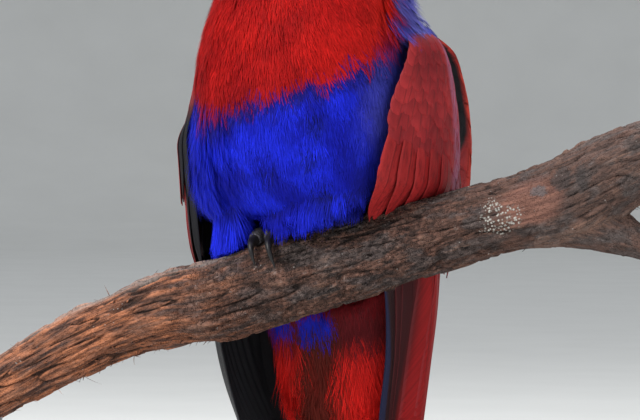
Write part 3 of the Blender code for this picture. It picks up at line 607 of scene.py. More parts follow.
for kind, x, z, half_long, half_high in FRONT_SPOTS:
    across = (px - (PERCH.x + x * MM)) / (half_long * MM)
    over = (pz - (PERCH.z + z * MM)) / (half_high * MM)
    ragged = (across * across + over * over) ** 0.5 + (stains - 0.5) * 2.2 + (grit - 0.5) * 0.9
    spot = ragged.rise(1.05, 0.70) * py.rise(PERCH.y, PERCH.y - 0.004)
    if kind == "lichen":
        crust = bark.cells(lie, 900.0).rise(0.55, 0.25)
        colour = bark.mix(spot * crust * 0.85, colour, (0.560, 0.545, 0.500))
    else:
        colour = bark.mix(spot * 0.72, colour, (0.040, 0.034, 0.034) if kind == "dark" else (0.120, 0.110, 0.115))
colour = bark.mix(specks * 0.5, colour, (0.500, 0.470, 0.440))
colour = bark.mix(rightward * 0.22, colour, (0.120, 0.100, 0.095))
rough = crust * (0.45 + middling * 0.60) + chips * 0.35
bark.lift(fibre * (1.0 - middling * 0.5) + thread * 0.38 + grit * 0.12 + rough, 0.0012, 0.95)
bark.feed(Base_Color=colour, Roughness=0.72 + grit * 0.18 - wear * 0.14)

sawn_wood = Finish("sawn_branch_end", specular_ior_level=0.25)
end_lie = sawn_wood.marked("straight")
ex, ey, ez = sawn_wood.parts(end_lie)
off_centre = (ey + 0.0012) ** 2.0 + (ez - 0.0008) ** 2.0
wobble = sawn_wood.grain(end_lie, 160.0, 3.0)
year_rings = ((off_centre ** 0.5 + wobble * 0.0012) * 5200.0).math("SINE") * 0.5 + 0.5
checks = sawn_wood.grain(sawn_wood.stretched(end_lie, 1.0, 900.0, 120.0), 1.0, 2.0).rise(0.64, 0.74)
end_colour = sawn_wood.mix(year_rings, (0.235, 0.135, 0.072), (0.405, 0.265, 0.155))
end_colour = sawn_wood.mix(off_centre.rise(0.000086, 0.000125), end_colour, (0.085, 0.045, 0.030))
end_colour = sawn_wood.mix(checks * 0.7, end_colour, (0.060, 0.032, 0.020))
sawn_wood.lift(year_rings * 0.4 - checks, 0.0003, 0.6)
sawn_wood.feed(Base_Color=end_colour, Roughness=0.78 + wobble * 0.12)

for made in (branch, limb):
    made.data.materials.append(bark.material)
    made.data.materials.append(sawn_wood.material)
    reached_in = np.empty(len(made.data.vertices) * 3, np.float32)
    made.data.attributes["wear"].data.foreach_get("vector", reached_in)
    inner = reached_in.reshape(-1, 3)[:, 2] < 0.995
    for face in made.data.polygons:
        if sum(inner[v] for v in face.vertices) >= 2:
            face.material_index = 1
    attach(made, "root")
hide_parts("perch_branch")


# Loose bark: single fibres and rootlets that stand off the branch, most of them along its lower side,
# and ragged flakes that hang where the bark has split. Each is a thin tapered rod bent by its own curl.

FIBRE_SIDES, FIBRE_STEPS = 5, 7
ROOTLETS = (  # x, angle up from the front, length, thickness, lean along the branch, curl
    (-117.0, 120.0, 9.0, 0.50, -0.9, 0.5),
    (-126.0, 100.0, 8.0, 0.45, -0.6, -0.6),
    (-77.0, 88.0, 5.5, 0.40, -0.3, 0.4),
    (-108.0, -60.0, 8.5, 0.40, 0.2, 0.3),
    (-98.0, -70.0, 9.5, 0.35, 0.6, -0.3),
    (-74.0, -78.0, 6.0, 0.45, -0.4, 0.2),
    (101.0, -84.0, 3.0, 0.30, 0.2, 0.2),
    (105.0, -80.0, 3.4, 0.30, -0.3, 0.3),
    (148.0, 60.0, 5.0, 0.40, 0.8, 0.4),
    (-30.0, 200.0, 7.0, 0.40, -0.5, 0.4),
    (64.0, 170.0, 8.0, 0.45, 0.7, -0.4),
)
FLAKES = 150               # short slivers of split bark, mostly low on the branch

start_fresh()
bpy.ops.mesh.primitive_cylinder_add(vertices=FIBRE_SIDES, radius=1.0, depth=1.0, end_fill_type="NGON")
sliver = bpy.context.object
bpy.ops.object.mode_set(mode="EDIT")
bpy.ops.mesh.select_all(action="SELECT")
bpy.ops.mesh.bisect(plane_co=(0, 0, 0), plane_no=(0, 0, 1))
for cut in range(1, FIBRE_STEPS):
    bpy.ops.mesh.select_all(action="SELECT")
    bpy.ops.mesh.bisect(plane_co=(0, 0, cut / FIBRE_STEPS - 0.5), plane_no=(0, 0, 1))
bpy.ops.object.mode_set(mode="OBJECT")
sliver_points = points_of(sliver.data) + np.array([0, 0, 0.5])
sliver_faces = [tuple(face.vertices) for face in sliver.data.polygons]
bpy.data.objects.remove(sliver)


def repeated(name, copies, faces):
    """One mesh from many moved copies of the same points."""
    count = len(copies[0])
    mesh = bpy.data.meshes.new(name)
    mesh.from_pydata(
        np.concatenate(copies), [],
        [tuple(v + k * count for v in face) for k in range(len(copies)) for face in faces])
    made = bpy.data.objects.new(name, mesh)
    bpy.context.scene.collection.objects.link(made)
    mesh.shade_smooth()
    return made


def fibre_at(x, degrees, length, thick, lean, curl, flat=1.0):
    """A bent fibre rooted in the bark."""
    angle = math.radians(degrees)
    root = branch_point(np.array([x]), np.array([angle]), np.array([-1.0]))[0]
    out = branch_point(np.array([x]), np.array([angle]), np.array([1.0]))[0] - root
    out /= np.linalg.norm(out)
    along = np.array([1.0, 0.0, 0.35])
    side = np.cross(out, along)
    side /= np.linalg.norm(side)
    t = sliver_points[:, 2]
    taper = thick / 2 * (1 - 0.85 * t)
    line = out[None] * (t * (1 - 0.4 * abs(lean)))[:, None] + along[None] * (lean * t + 0.15 * t * t)[:, None] \
        + side[None] * (curl * np.sin(t * 2.4) * 0.5)[:, None]
    return root + line * length + side[None] * (sliver_points[:, 0] * taper)[:, None] * flat \
        + along[None] * (sliver_points[:, 1] * taper)[:, None]


loose = [fibre_at(*rootlet) for rootlet in ROOTLETS]
for _ in range(FLAKES):
    x = random.choice((random.uniform(-135, -25), random.uniform(-100, -50), random.uniform(-20, 152)))
    low_side = random.gauss(-85, 28) if random.random() < 0.7 else random.uniform(-40, 220)
    loose.append(fibre_at(x, low_side, random.uniform(1.4, 3.8), random.uniform(0.3, 0.8),
                          random.choice((-1, 1)) * random.uniform(0.5, 1.3), random.uniform(-0.3, 0.3),
                          random.uniform(1.0, 2.6)))
fibres = repeated("bark_fibres", loose, sliver_faces)
set_mark(fibres.data, "straight", points_of(fibres.data) * MM)
set_mark(fibres.data, "wear", np.zeros((len(fibres.data.vertices), 3)) + np.array([0, 0.12, 1.0]))
settle(fibres, UPRIGHT)
fibres.data.materials.append(bark.material)
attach(fibres, "root")


# The bird's skin is one surface from the vent to the bill, which shows only as colour between its feathers.
# It is made from copies of the flesh solids, run together and sunk by the depth of the coat that lies on it.

SKIN_VOXEL = 0.0014
SWELL = 0.0005            # closes the thin cuts between the solids before they run together
COAT_DEPTH = (0.0019, 0.0010)     # how far the skin lies under the solids, on the body and on the face
FACE_HEIGHT = (128.0, 152.0)      # over which the coat thins towards the face, mm above the perch
FLANK_FULL = 3.4                  # how far the right flank's loose feathers fill out over its wing, mm


def upright(points):
    """Places in the part's metres as millimetres from the perch, not rolled."""
    return (np.asarray(points, float) - np.array(PERCH)) / MM


def moved_along_normals(mesh, far):
    """Pushes each vertex out by its own distance, in metres."""
    normals = np.empty(len(mesh.vertices) * 3, np.float32)
    mesh.vertices.foreach_get("normal", normals)
    set_points(mesh, points_of(mesh) + normals.reshape(-1, 3) * np.asarray(far).reshape(-1, 1))


start_fresh()
flesh = []
for name in ("torso", "neck", "head"):
    copy = bpy.data.objects.new("flesh", nodes[name].data.copy())
    bpy.context.scene.collection.objects.link(copy)
    copy.select_set(True)
    bpy.context.view_layer.objects.active = copy
    flesh.append(copy)
    bpy.ops.object.mode_set(mode="EDIT")
    bpy.ops.mesh.select_all(action="SELECT")
    bpy.ops.mesh.remove_doubles(threshold=1e-6)
    bpy.ops.object.mode_set(mode="OBJECT")
    moved_along_normals(copy.data, np.full(len(copy.data.vertices), SWELL))
bpy.ops.object.join()
skin = bpy.context.object
skin.name = "bird_skin"
skin.data.materials.clear()
for kind, name in (("REMESH", "run together"), ("SMOOTH", "smooth")):
    modifier = skin.modifiers.new(name, kind)
    if kind == "REMESH":
        modifier.mode = "VOXEL"
        modifier.voxel_size = SKIN_VOXEL
    else:
        modifier.iterations = 4
        modifier.factor = 0.5
    bpy.ops.object.modifier_apply(modifier=name)
height_on = upright(points_of(skin.data))[:, 2]
face = smoothstep(*FACE_HEIGHT, height_on)
side_on, front_on, height_on = upright(points_of(skin.data)).T
flank = smoothstep(-22.0, -37.0, side_on) * smoothstep(26.0, 6.0, front_on)
flank *= smoothstep(52.0, 22.0, height_on) * smoothstep(-10.0, 2.0, height_on)
moved_along_normals(
    skin.data, FLANK_FULL * MM * flank - (SWELL + COAT_DEPTH[0] * (1 - face) + COAT_DEPTH[1] * face))
bpy.ops.object.shade_smooth()


def plumage(look, at):
    """The colours of the body's feathers at a place: their tips' and their roots'."""
    x, y, z = look.parts(at)
    x, y, z = (x - PERCH.x) / MM, (y - PERCH.y) / MM, (z - PERCH.z) / MM
    seen = x * 0.94 + y * 0.342 - 9.1          # sideways in the photo's view
    wander = (look.grain(at, 170.0, 3.0, 0.65) - 0.5) * 13.0
    jags = (look.grain(look.stretched(at, 620.0, 620.0, 190.0), 1.0, 2.0) - 0.5) * 10.0
    clouds = look.grain(at, 62.0, 3.0, 0.6)
    behind = y.rise(-13.0, 10.0).math("MAXIMUM", (seen + wander * 0.4).rise(24.0, 30.0))
    bib_edge = seen * 0.33 + behind * 38.0 + seen.rise(-44.0, -51.0) * 8.0 + 82.8 + wander + jags
    bib = (z - bib_edge).rise(-0.8, 0.8)

    # The bib is red, deepest low on the breast, and its last feathers are violet by the left wing
    red = look.mix(clouds.rise(0.35, 0.65), (0.360, 0.006, 0.007), (0.560, 0.011, 0.009))
    red = look.mix((z - bib_edge).rise(20.0, 2.0) * seen.rise(-6.0, -26.0) * 0.40, red, (0.220, 0.006, 0.012))
    red = look.mix(seen.rise(4.0, 22.0) * z.rise(84.0, 108.0) * 0.7, red, (0.800, 0.024, 0.014))
    fringe = (z - bib_edge).rise(11.0, 0.0) * seen.rise(12.0, 25.0)
    red = look.mix(fringe * 0.62, red, (0.150, 0.040, 0.290))

    # The belly is blue, navy along the bib and violet on the collar, with painted shade towards the left wing, where
    # the feathers part and low over the branch
    blue = look.mix(clouds.rise(0.38, 0.62), (0.008, 0.012, 0.420), (0.016, 0.032, 0.860))
    # Painted shade: the belly darkens to navy towards the left wing, on the side turned from the light
    blue = look.mix((seen + wander * 0.5).rise(2.0, 30.0) * 0.75, blue, (0.026, 0.026, 0.135))
    # The slate blue high by the left wing is partly its own violet tone and partly painted light, made paler to offset
    # the wing's shade
    slate = seen.rise(6.0, 20.0) * (z + wander * 0.5).rise(52.0, 68.0)
    blue = look.mix(slate * 0.85, blue, look.mix(clouds, (0.040, 0.052, 0.440), (0.100, 0.096, 0.540)))
    # Painted shade: near-black patches in the gaps where the belly's feathers part
    parted = 0.0
    for spot_x, spot_z, size in ((-5.5, 65.0, 5.2), (-7.4, 50.5, 4.4), (-1.6, 36.5, 5.6), (-24.0, 45.0, 3.2)):
        away = ((seen - spot_x) ** 2.0 + (z - spot_z) ** 2.0) ** 0.5
        parted = (away + wander * 0.55 + jags * 0.35).rise(size, size * 0.35) * 0.80 + parted
    blue = look.mix(parted.math("MINIMUM", 0.85), blue, (0.006, 0.007, 0.045))
    edge = (z - bib_edge + jags * 0.5).rise(-7.5, -4.5) * (0.40 + clouds * 0.6) * seen.rise(26.0, 12.0)
    blue = look.mix(edge.math("MINIMUM", 0.9), blue, (0.016, 0.009, 0.050))
    # Painted shade: the belly's skirt low over the branch is darkened nearly to black
    skirt_shade = (z - (seen * 0.31 + 20.0) + jags * 1.6).rise(15.0, 7.0) * seen.rise(-14.0, 4.0)
    blue = look.mix(skirt_shade * 0.75, blue, (0.007, 0.007, 0.030))
    collar = look.mix(clouds.rise(0.30, 0.60), (0.065, 0.068, 0.460), (0.250, 0.230, 0.680))
    blue = look.mix(behind * z.rise(55.0, 85.0), blue, collar)

    # Over the back the feathers are maroon, and past the vent red, with the branch's shadow painted dark maroon just
    # under it, and with brown and a last blue fringe
    mantle = y.rise(12.0, 22.0) * (z + wander * 0.4).rise(104.0, 99.0)
    maroon = look.mix(clouds, (0.115, 0.006, 0.009), (0.210, 0.010, 0.014))
    # Painted shadow of the branch: the feathers just under it are dark maroon, and bright red only lower down
    under = look.mix((z + wander * 0.7).rise(-20.0, -29.0), (0.130, 0.012, 0.016), (0.860, 0.022, 0.018))
    brown = (seen + 3.5 + wander * 0.6).math("ABSOLUTE").rise(10.0, 5.0) * (z + wander).rise(-14.0, -22.0)
    under = look.mix(brown * (0.55 + clouds * 0.6).math("MINIMUM", 0.95), under, (0.036, 0.018, 0.012))
    low_blue = (seen + 11.0 + wander * 0.3).math("ABSOLUTE").rise(12.8, 11.5) * (z + jags * 0.6).rise(-21.0, -18.5)
    low_blue = low_blue * (seen + 14.2 + jags * 0.2).math("ABSOLUTE").rise(1.2, 2.8)
    under = look.mix(low_blue, under, (0.014, 0.020, 0.480))
    vent = (z + jags * 0.3).rise(-9.0, -12.0)
    colour = look.mix(bib, blue, red)
    colour = look.mix(mantle, colour, maroon)
    colour = look.mix(vent, colour, under)
    return colour, look.mix(0.70, colour, (0.008, 0.005, 0.009))


skin_look = Finish("feathered_skin", roughness=0.8, specular_ior_level=0.1)
skin_tips, skin_roots = plumage(skin_look, skin_look.place())
down = skin_look.grain(skin_look.stretched(skin_look.place(), 1500.0, 1500.0, 260.0), 1.0, 3.0)
skin_look.lift(down, 0.0006, 0.8)
skin.data.materials.append(skin_look.feed(
    Base_Color=skin_look.mix(down.rise(0.35, 0.75) * 0.5, skin_roots, skin_tips)))
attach(skin, "root")
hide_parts("torso", "neck", "head")


# The coat is thousands of small soft contour feathers. Each ends in a fan of loose barbs, like fine hair,
# and lies over the next one down, from the bill over the crown, neck, breast, belly and back to the vent.
# A few tufts are modelled once. Copies follow the skin's own curve and keep clear of the branch and wings.

TUFT_KINDS = 5
STRANDS = 11
STRAND_AT = (0.0, 0.4, 0.75, 1.0)          # where along a barb its widths are given
STRAND_WIDE = (0.35, 0.33, 0.23, 0.0)      # mm, at a tuft's full size
COAT_SPACING = (1.28, 1.02)                # mm between roots, on the body and on the face
TUFT_LONG = (10.2, 3.5)                    # mm, on the body and on the face
COAT_PIECE = 3500                          # the most tufts in one piece
SKIRT_OVER = 3.0                           # how far the belly's skirt laps over the branch, mm
LOCK_LONG = 0.65                           # how much longer the right flank's locks are
TAIL_END_LONG = 1.6                        # how much longer the coat is where the tail begins
BILL_ROOT = np.array([3.5, -64.0, 168.0])  # where the face's feathers part, upright, mm
BREAST_FAN = 0.46                          # how far the breast's feathers point outwards at its sides
chance = np.random.RandomState(5)


def tuft_shape(kind):
    """A fan of barbs along a short shaft: rows of (across, along, off the skin), with the length as 1."""
    roll_of = np.random.RandomState(40 + kind)
    rows = []
    for k in range(STRANDS):
        side = (k - (STRANDS - 1) / 2) / ((STRANDS - 1) / 2)
        start = 0.34 * (1 - abs(side)) * roll_of.uniform(0.5, 1.2)
        reach = (1.0 - 0.30 * abs(side) ** 1.5) * roll_of.uniform(0.86, 1.06)
        spread = side * roll_of.uniform(0.85, 1.15)
        lift = roll_of.uniform(0.0, 0.5)
        bend = roll_of.uniform(-0.07, 0.07)
        for t in STRAND_AT:
            across = spread * (0.05 + 0.155 * t ** 0.8) + bend * t * t
            along = start + (reach - start) * t
            off = (0.03 + 0.11 * t + 0.05 * lift * t)
            rows.append((across, along, off, t, k))
    return np.array(rows)


tufts = [tuft_shape(kind) for kind in range(TUFT_KINDS)]
tuft_faces = []
for k in range(STRANDS):
    first = k * 7
    tuft_faces += [(first, first + 1, first + 3, first + 2), (first + 2, first + 3, first + 5, first + 4),
                   (first + 4, first + 5, first + 6)]


def scattered(mesh, spacing, tries, keep):
    """Roots spread evenly over a mesh, no two closer than the spacing at their place. Places and normals."""
    mesh.calc_loop_triangles()
    count = len(mesh.loop_triangles)
    corners = np.empty(count * 3, np.int32)
    mesh.loop_triangles.foreach_get("vertices", corners)
    corners = corners.reshape(-1, 3)
    areas = np.empty(count, np.float32)
    mesh.loop_triangles.foreach_get("area", areas)
    normals = np.empty(count * 3, np.float32)
    mesh.loop_triangles.foreach_get("normal", normals)
    normals = normals.reshape(-1, 3)
    places = points_of(mesh)
    picked = chance.choice(count, tries, p=areas / areas.sum())
    a, b = chance.rand(2, tries)
    over = a + b > 1
    a[over], b[over] = 1 - a[over], 1 - b[over]
    one, two, three = (places[corners[picked, k]] for k in range(3))
    spots = one + (two - one) * a[:, None] + (three - one) * b[:, None]
    wanted = keep(spots, normals[picked])
    spots, outward = spots[wanted], normals[picked][wanted]
    gaps = spacing(spots)
    cell = gaps.max()
    grid, kept = {}, []
    for index, (spot, gap) in enumerate(zip(spots, gaps)):
        home = tuple(np.floor(spot / cell).astype(int))
        clash = False
        for dx in (-1, 0, 1):
            for dy in (-1, 0, 1):
                for dz in (-1, 0, 1):
                    for other in grid.get((home[0] + dx, home[1] + dy, home[2] + dz), ()):
                        away = spots[other] - spot
                        if away @ away < gap * gap:
                            clash = True
                            break
                    if clash:
                        break
                if clash:
                    break
            if clash:
                break
        if not clash:
            grid.setdefault(home, []).append(index)
            kept.append(index)
    return spots[kept], outward[kept]


def lie_of(places):
    """Which way feathers point at upright places in mm: away from the bill, then down the body."""
    from_bill = places - BILL_ROOT
    from_bill /= np.linalg.norm(from_bill, axis=1, keepdims=True)
    down = np.tile(np.array([0.0, 0.0, -1.0]), (len(places), 1))
    down[:, 0] += 0.10 * np.clip(places[:, 0] / 40.0, -1, 1)
    down[:, 0] += BREAST_FAN * smoothstep(48.0, 92.0, places[:, 2]) * np.clip((places[:, 0] + 4.0) / 34.0, -0.6, 1)
    down[:, 1] += 0.22 * smoothstep(10.0, -40.0, places[:, 2])
    head = smoothstep(118.0, 165.0, places[:, 2])[:, None]
    return from_bill * head + down * (1 - head)


wing_surfaces = {}
for word in ("left", "right"):
    wing_mesh = nodes["wing_" + word].data
    wing_surfaces[word] = BVHTree.FromPolygons(
        [v.co for v in wing_mesh.vertices], [tuple(f.vertices) for f in wing_mesh.polygons])
skin_surface = BVHTree.FromPolygons(
    [v.co for v in skin.data.vertices], [tuple(f.vertices) for f in skin.data.polygons])
eye_middles = [(low + high) / 2 for low, high in (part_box("eye_left"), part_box("eye_right"))]
UNDER_WING = 0.016        # how far under a wing no feathers are needed
EDGE_KEPT = 0.010         # those near its edge stay
SHOULDER_DEEP = 6.0       # how far down from a wing's top the collar's feathers are rooted, mm
COLLAR_OVER = 3.0         # and how far they lie over the wing's own surface, mm
COLLAR_SHORT = 0.75       # their length, as a share of the body's
SHAWL_LONG = 16.0         # the feathers that slope from the neck down over the wing's top, mm


def open_to_sight(spots, outward):
    """Which roots can be seen: not deep under a wing or in an eye."""
    seen = np.ones(len(spots), bool)
    for index, (spot, normal) in enumerate(zip(spots, outward)):
        spot, normal = Vector(spot), Vector(normal)
        side = "left" if spot.x > PERCH.x else "right"
        hit, _, _, far = wing_surfaces[side].ray_cast(spot, normal, UNDER_WING)
        if hit:
            for shift in ((0, -EDGE_KEPT, 0), (0, EDGE_KEPT, 0), (0, 0, EDGE_KEPT), (0, 0, -EDGE_KEPT)):
                if not wing_surfaces[side].ray_cast(spot + Vector(shift), normal, UNDER_WING)[0]:
                    break
            else:
                seen[index] = False
        if any((spot - middle).length < 0.0068 for middle in eye_middles):
            seen[index] = False
    return seen


def face_share(spots):
    """0 on the body, 1 on the face."""
    places = upright(spots)
    near_bill = np.linalg.norm(places - BILL_ROOT, axis=1)
    return smoothstep(112.0, 150.0, places[:, 2]) * (0.45 + 0.55 * smoothstep(44.0, 20.0, near_bill))


def coat_spacing(spots):
    share = face_share(spots)
    return (COAT_SPACING[0] * (1 - share) + COAT_SPACING[1] * share) * MM


def in_view(spots):
    """How far upright places in mm lie to the side in the photo's view."""
    return spots[:, 0] * 0.94 + spots[:, 1] * 0.342 - 9.1


def on_shoulder(spots, outward):
    """Roots on the left wing's top, where soft feathers lie over its first coverts."""
    return (upright(spots)[:, 2] > shoulder_top - SHOULDER_DEEP) & (outward[:, 0] > 0.0) & (outward[:, 2] > -0.5)


roots, root_normals = scattered(skin.data, coat_spacing, 150000, open_to_sight)
bearers = [skin_surface] * len(roots)
shoulder = nodes["wing_left"].data
shoulder_top = upright(points_of(shoulder))[:, 2].max()
more, more_normals = scattered(shoulder, coat_spacing, 30000, on_shoulder)
more = more + more_normals * COLLAR_OVER * MM
roots, root_normals = np.concatenate([roots, more]), np.concatenate([root_normals, more_normals])
over_coverts = BVHTree.FromPolygons(
    [v.co + v.normal * COLLAR_OVER * MM for v in shoulder.vertices], [tuple(f.vertices) for f in shoulder.polygons])
bearers += [over_coverts] * len(more)
tuft_count = len(roots)
print("tufts", tuft_count)
share = face_share(roots)
long = (TUFT_LONG[0] * (1 - share) + TUFT_LONG[1] * share) * MM * chance.uniform(0.82, 1.2, tuft_count)
places = upright(roots)
facing = root_normals @ np.array([0.342, -0.94, 0.0])
long[-len(more):] *= COLLAR_SHORT
lie = lie_of(places) + chance.normal(0.0, 0.10, (tuft_count, 3))

# The belly's last feathers hang free in a skirt that ends just over the top of the branch
perch_middle, perch_radius = branch_at(np.clip(places[:, 0], BRANCH[0][0], BRANCH[-1][0]))
above = places[:, 2] - (perch_middle[:, 2] + perch_radius)
skirt = smoothstep(15.0, 9.0, above) * smoothstep(-0.15, 0.25, facing)
flank_skirt = smoothstep(-16.0, -28.0, places[:, 0]) * smoothstep(26.0, 18.0, above) * smoothstep(-0.9, -0.6, facing)
skirt = np.maximum(skirt, flank_skirt) * smoothstep(-4.0, -1.0, above)
reach_down = (np.maximum(above, 0.0) + SKIRT_OVER * chance.uniform(0.2, 1.5, tuft_count)) * MM
long = np.where(skirt > 0.5, np.maximum(long, reach_down), long)

# Loose pointed locks stand out from the right flank, and the coat grows long and soft towards the tail
lock = smoothstep(0.42, 0.80, -root_normals[:, 0]) * smoothstep(76.0, 62.0, places[:, 2])
lock *= smoothstep(24.0, 40.0, places[:, 2]) * smoothstep(20.0, 2.0, places[:, 1])
tail_end = smoothstep(-16.0, -36.0, places[:, 2]) * smoothstep(0.0, 0.4, facing)
long *= 1.0 + LOCK_LONG * lock + TAIL_END_LONG * tail_end
skirt *= smoothstep(16.0, 13.0, in_view(places))
free = np.maximum(skirt, tail_end)
hang = np.array([[0.0, 0.0, -1.0]]) * skirt[:, None] + np.array([[0.0, 0.16, -0.98]]) * (free - skirt)[:, None]
shawl = smoothstep(17.0, 22.0, in_view(places)) * smoothstep(95.0, 99.0, places[:, 2])
shawl *= smoothstep(124.0, 116.0, places[:, 2]) * smoothstep(0.2, 0.5, root_normals[:, 0])
shawl[-len(more):] = 0.0
long = np.where(shawl > 0.5, SHAWL_LONG * MM * chance.uniform(0.75, 1.15, tuft_count), long)
hang = hang * (1 - shawl)[:, None] + np.array([[0.62, -0.02, -0.78]]) * shawl[:, None]
free = np.maximum(free, shawl)

# Each tuft's middle line is walked over the skin in three steps, so that it bends with the body
stations, station_normals = [roots], [root_normals]
for step in range(3):
    here, normal = stations[-1], station_normals[-1]
    heading = lie - normal * np.sum(lie * normal, axis=1, keepdims=True)
    heading /= np.maximum(np.linalg.norm(heading, axis=1, keepdims=True), 1e-6)
    heading = heading * (1 - free)[:, None] + hang
    goal = here + heading * (long / 3)[:, None]
    found, turned = np.empty_like(goal), np.empty_like(goal)
    for index, spot in enumerate(goal):
        near, near_normal, _, _ = bearers[index].find_nearest(Vector(spot))
        found[index], turned[index] = near, near_normal
    found += (goal - found) * free[:, None]
    stations.append(found)
    station_normals.append(0.5 * turned + 0.5 * normal)
stations, station_normals = np.array(stations), np.array(station_normals)
station_normals /= np.linalg.norm(station_normals, axis=2, keepdims=True)
coloured_at = roots.copy()                 # where each tuft takes its colour from
coloured_at[:, :2] += (stations[2] - roots)[:, :2] * np.round(shawl)[:, None]

BRANCH_CLEAR = 0.45                # mm between the coat and the bark
SKIN_SPAN = (-70.0, 190.0)         # heights of the coat's unwrap, mm
PATCH = 0.003                      # what a tuft takes up on it
BARBS_MIX = 0.006                  # how far a barb's colour can come from above or below its root, in metres
LOCK_STANDS = 1.1                  # how much further the right flank's locks stand off
upright_low, upright_high = SKIN_SPAN


def coat_points(rows, pick):
    """The points of a group of tufts, one row of the tuft's shape at a time."""
    along = rows[:, 1]
    step = np.clip(along * 3, 0, 2.999)
    index = step.astype(int)
    part = (step - index)[None, :, None]
    spine = stations[:, pick].transpose(1, 0, 2)
    outward = station_normals[:, pick].transpose(1, 0, 2)
    spot = spine[:, index] * (1 - part) + spine[:, index + 1] * part
    normal = outward[:, index] * (1 - part) + outward[:, index + 1] * part
    heading = spine[:, index + 1] - spine[:, index]
    heading /= np.maximum(np.linalg.norm(heading, axis=2, keepdims=True), 1e-9)
    side = np.cross(heading, normal)
    side /= np.maximum(np.linalg.norm(side, axis=2, keepdims=True), 1e-9)
    size = long[pick][:, None, None]
    return (spot + side * (rows[:, 0][None, :, None] * size * broad[pick][:, None, None])
            + normal * (rows[:, 2][None, :, None] * size * stand[pick][:, None, None] + 0.00012)), side


def ribbons(rows, pick):
    """Each barb as a flat tapering strip on its own line of points: seven points a barb."""
    line, side = coat_points(rows, pick)
    count = len(pick)
    line = line.reshape(count, STRANDS, 4, 3)
    side = side.reshape(count, STRANDS, 4, 3)
    half = np.array(STRAND_WIDE) / 2 * MM
    half = half[None, None, :, None] * thick[pick][:, None, None, None]
    made = np.empty((count, STRANDS, 7, 3))
    made[:, :, 0:6:2] = line[:, :, :3] - side[:, :, :3] * half[:, :, :3]
    made[:, :, 1:6:2] = line[:, :, :3] + side[:, :, :3] * half[:, :, :3]
    made[:, :, 6] = line[:, :, 3]
    return made.reshape(count, STRANDS * 7, 3)


def clear_of_branch(points):
    """Moves points that would lie in the branch out to just above its bark."""
    spots = upright(points)
    flat = spots.reshape(-1, 3)
    middle, radius = branch_at(np.clip(flat[:, 0], BRANCH[0][0], BRANCH[-1][0]))
    slope = branch_at(flat[:, 0] + 1.0)[0] - branch_at(flat[:, 0] - 1.0)[0]
    slope /= np.linalg.norm(slope, axis=1, keepdims=True)
    across = flat - middle
    across -= slope * np.sum(across * slope, axis=1, keepdims=True)
    away = np.linalg.norm(across, axis=1)
    need = radius + 1.2 + BRANCH_CLEAR
    short = away < need
    push = across / np.maximum(away, 1e-6)[:, None] * np.maximum(need - away, 0)[:, None]
    flat = np.where(short[:, None], flat + push, flat)
    return flat.reshape(spots.shape) * MM + np.array(PERCH)


broad = chance.uniform(0.85, 1.2, tuft_count)
broad *= 1.0 - 0.30 * lock
stand = chance.uniform(0.75, 1.25, tuft_count) * (1.0 + LOCK_STANDS * lock) * (1.0 - 0.4 * skirt)
thick = (1.0 - 0.45 * share) * chance.uniform(0.9, 1.15, tuft_count)
tone = chance.rand(tuft_count)
kinds = chance.randint(0, TUFT_KINDS, tuft_count)

feather_look = Finish("soft_body_feathers", roughness=0.7, specular_ior_level=0.08)
along_tuft, tuft_tone, barb_tone = feather_look.parts(feather_look.marked("tuft"))
root_x, root_y, root_z = feather_look.parts(feather_look.marked("root"))
home = feather_look.node("CombineXYZ", X=root_x, Y=root_y, Z=root_z + (barb_tone - 0.5) * BARBS_MIX)
tips, roots_dark = plumage(feather_look, home)
feather_colour = feather_look.mix(along_tuft.rise(-0.15, 0.50), roots_dark, tips)
shade = (0.74 + tuft_tone * 0.30) * (0.80 + barb_tone * 0.38)
feather_colour = feather_look.mix(
    1.0, feather_colour, feather_look.node("CombineXYZ", X=shade, Y=shade, Z=shade), "MULTIPLY")
feather_look.feed(Base_Color=feather_colour, Roughness=0.60 + barb_tone * 0.2)

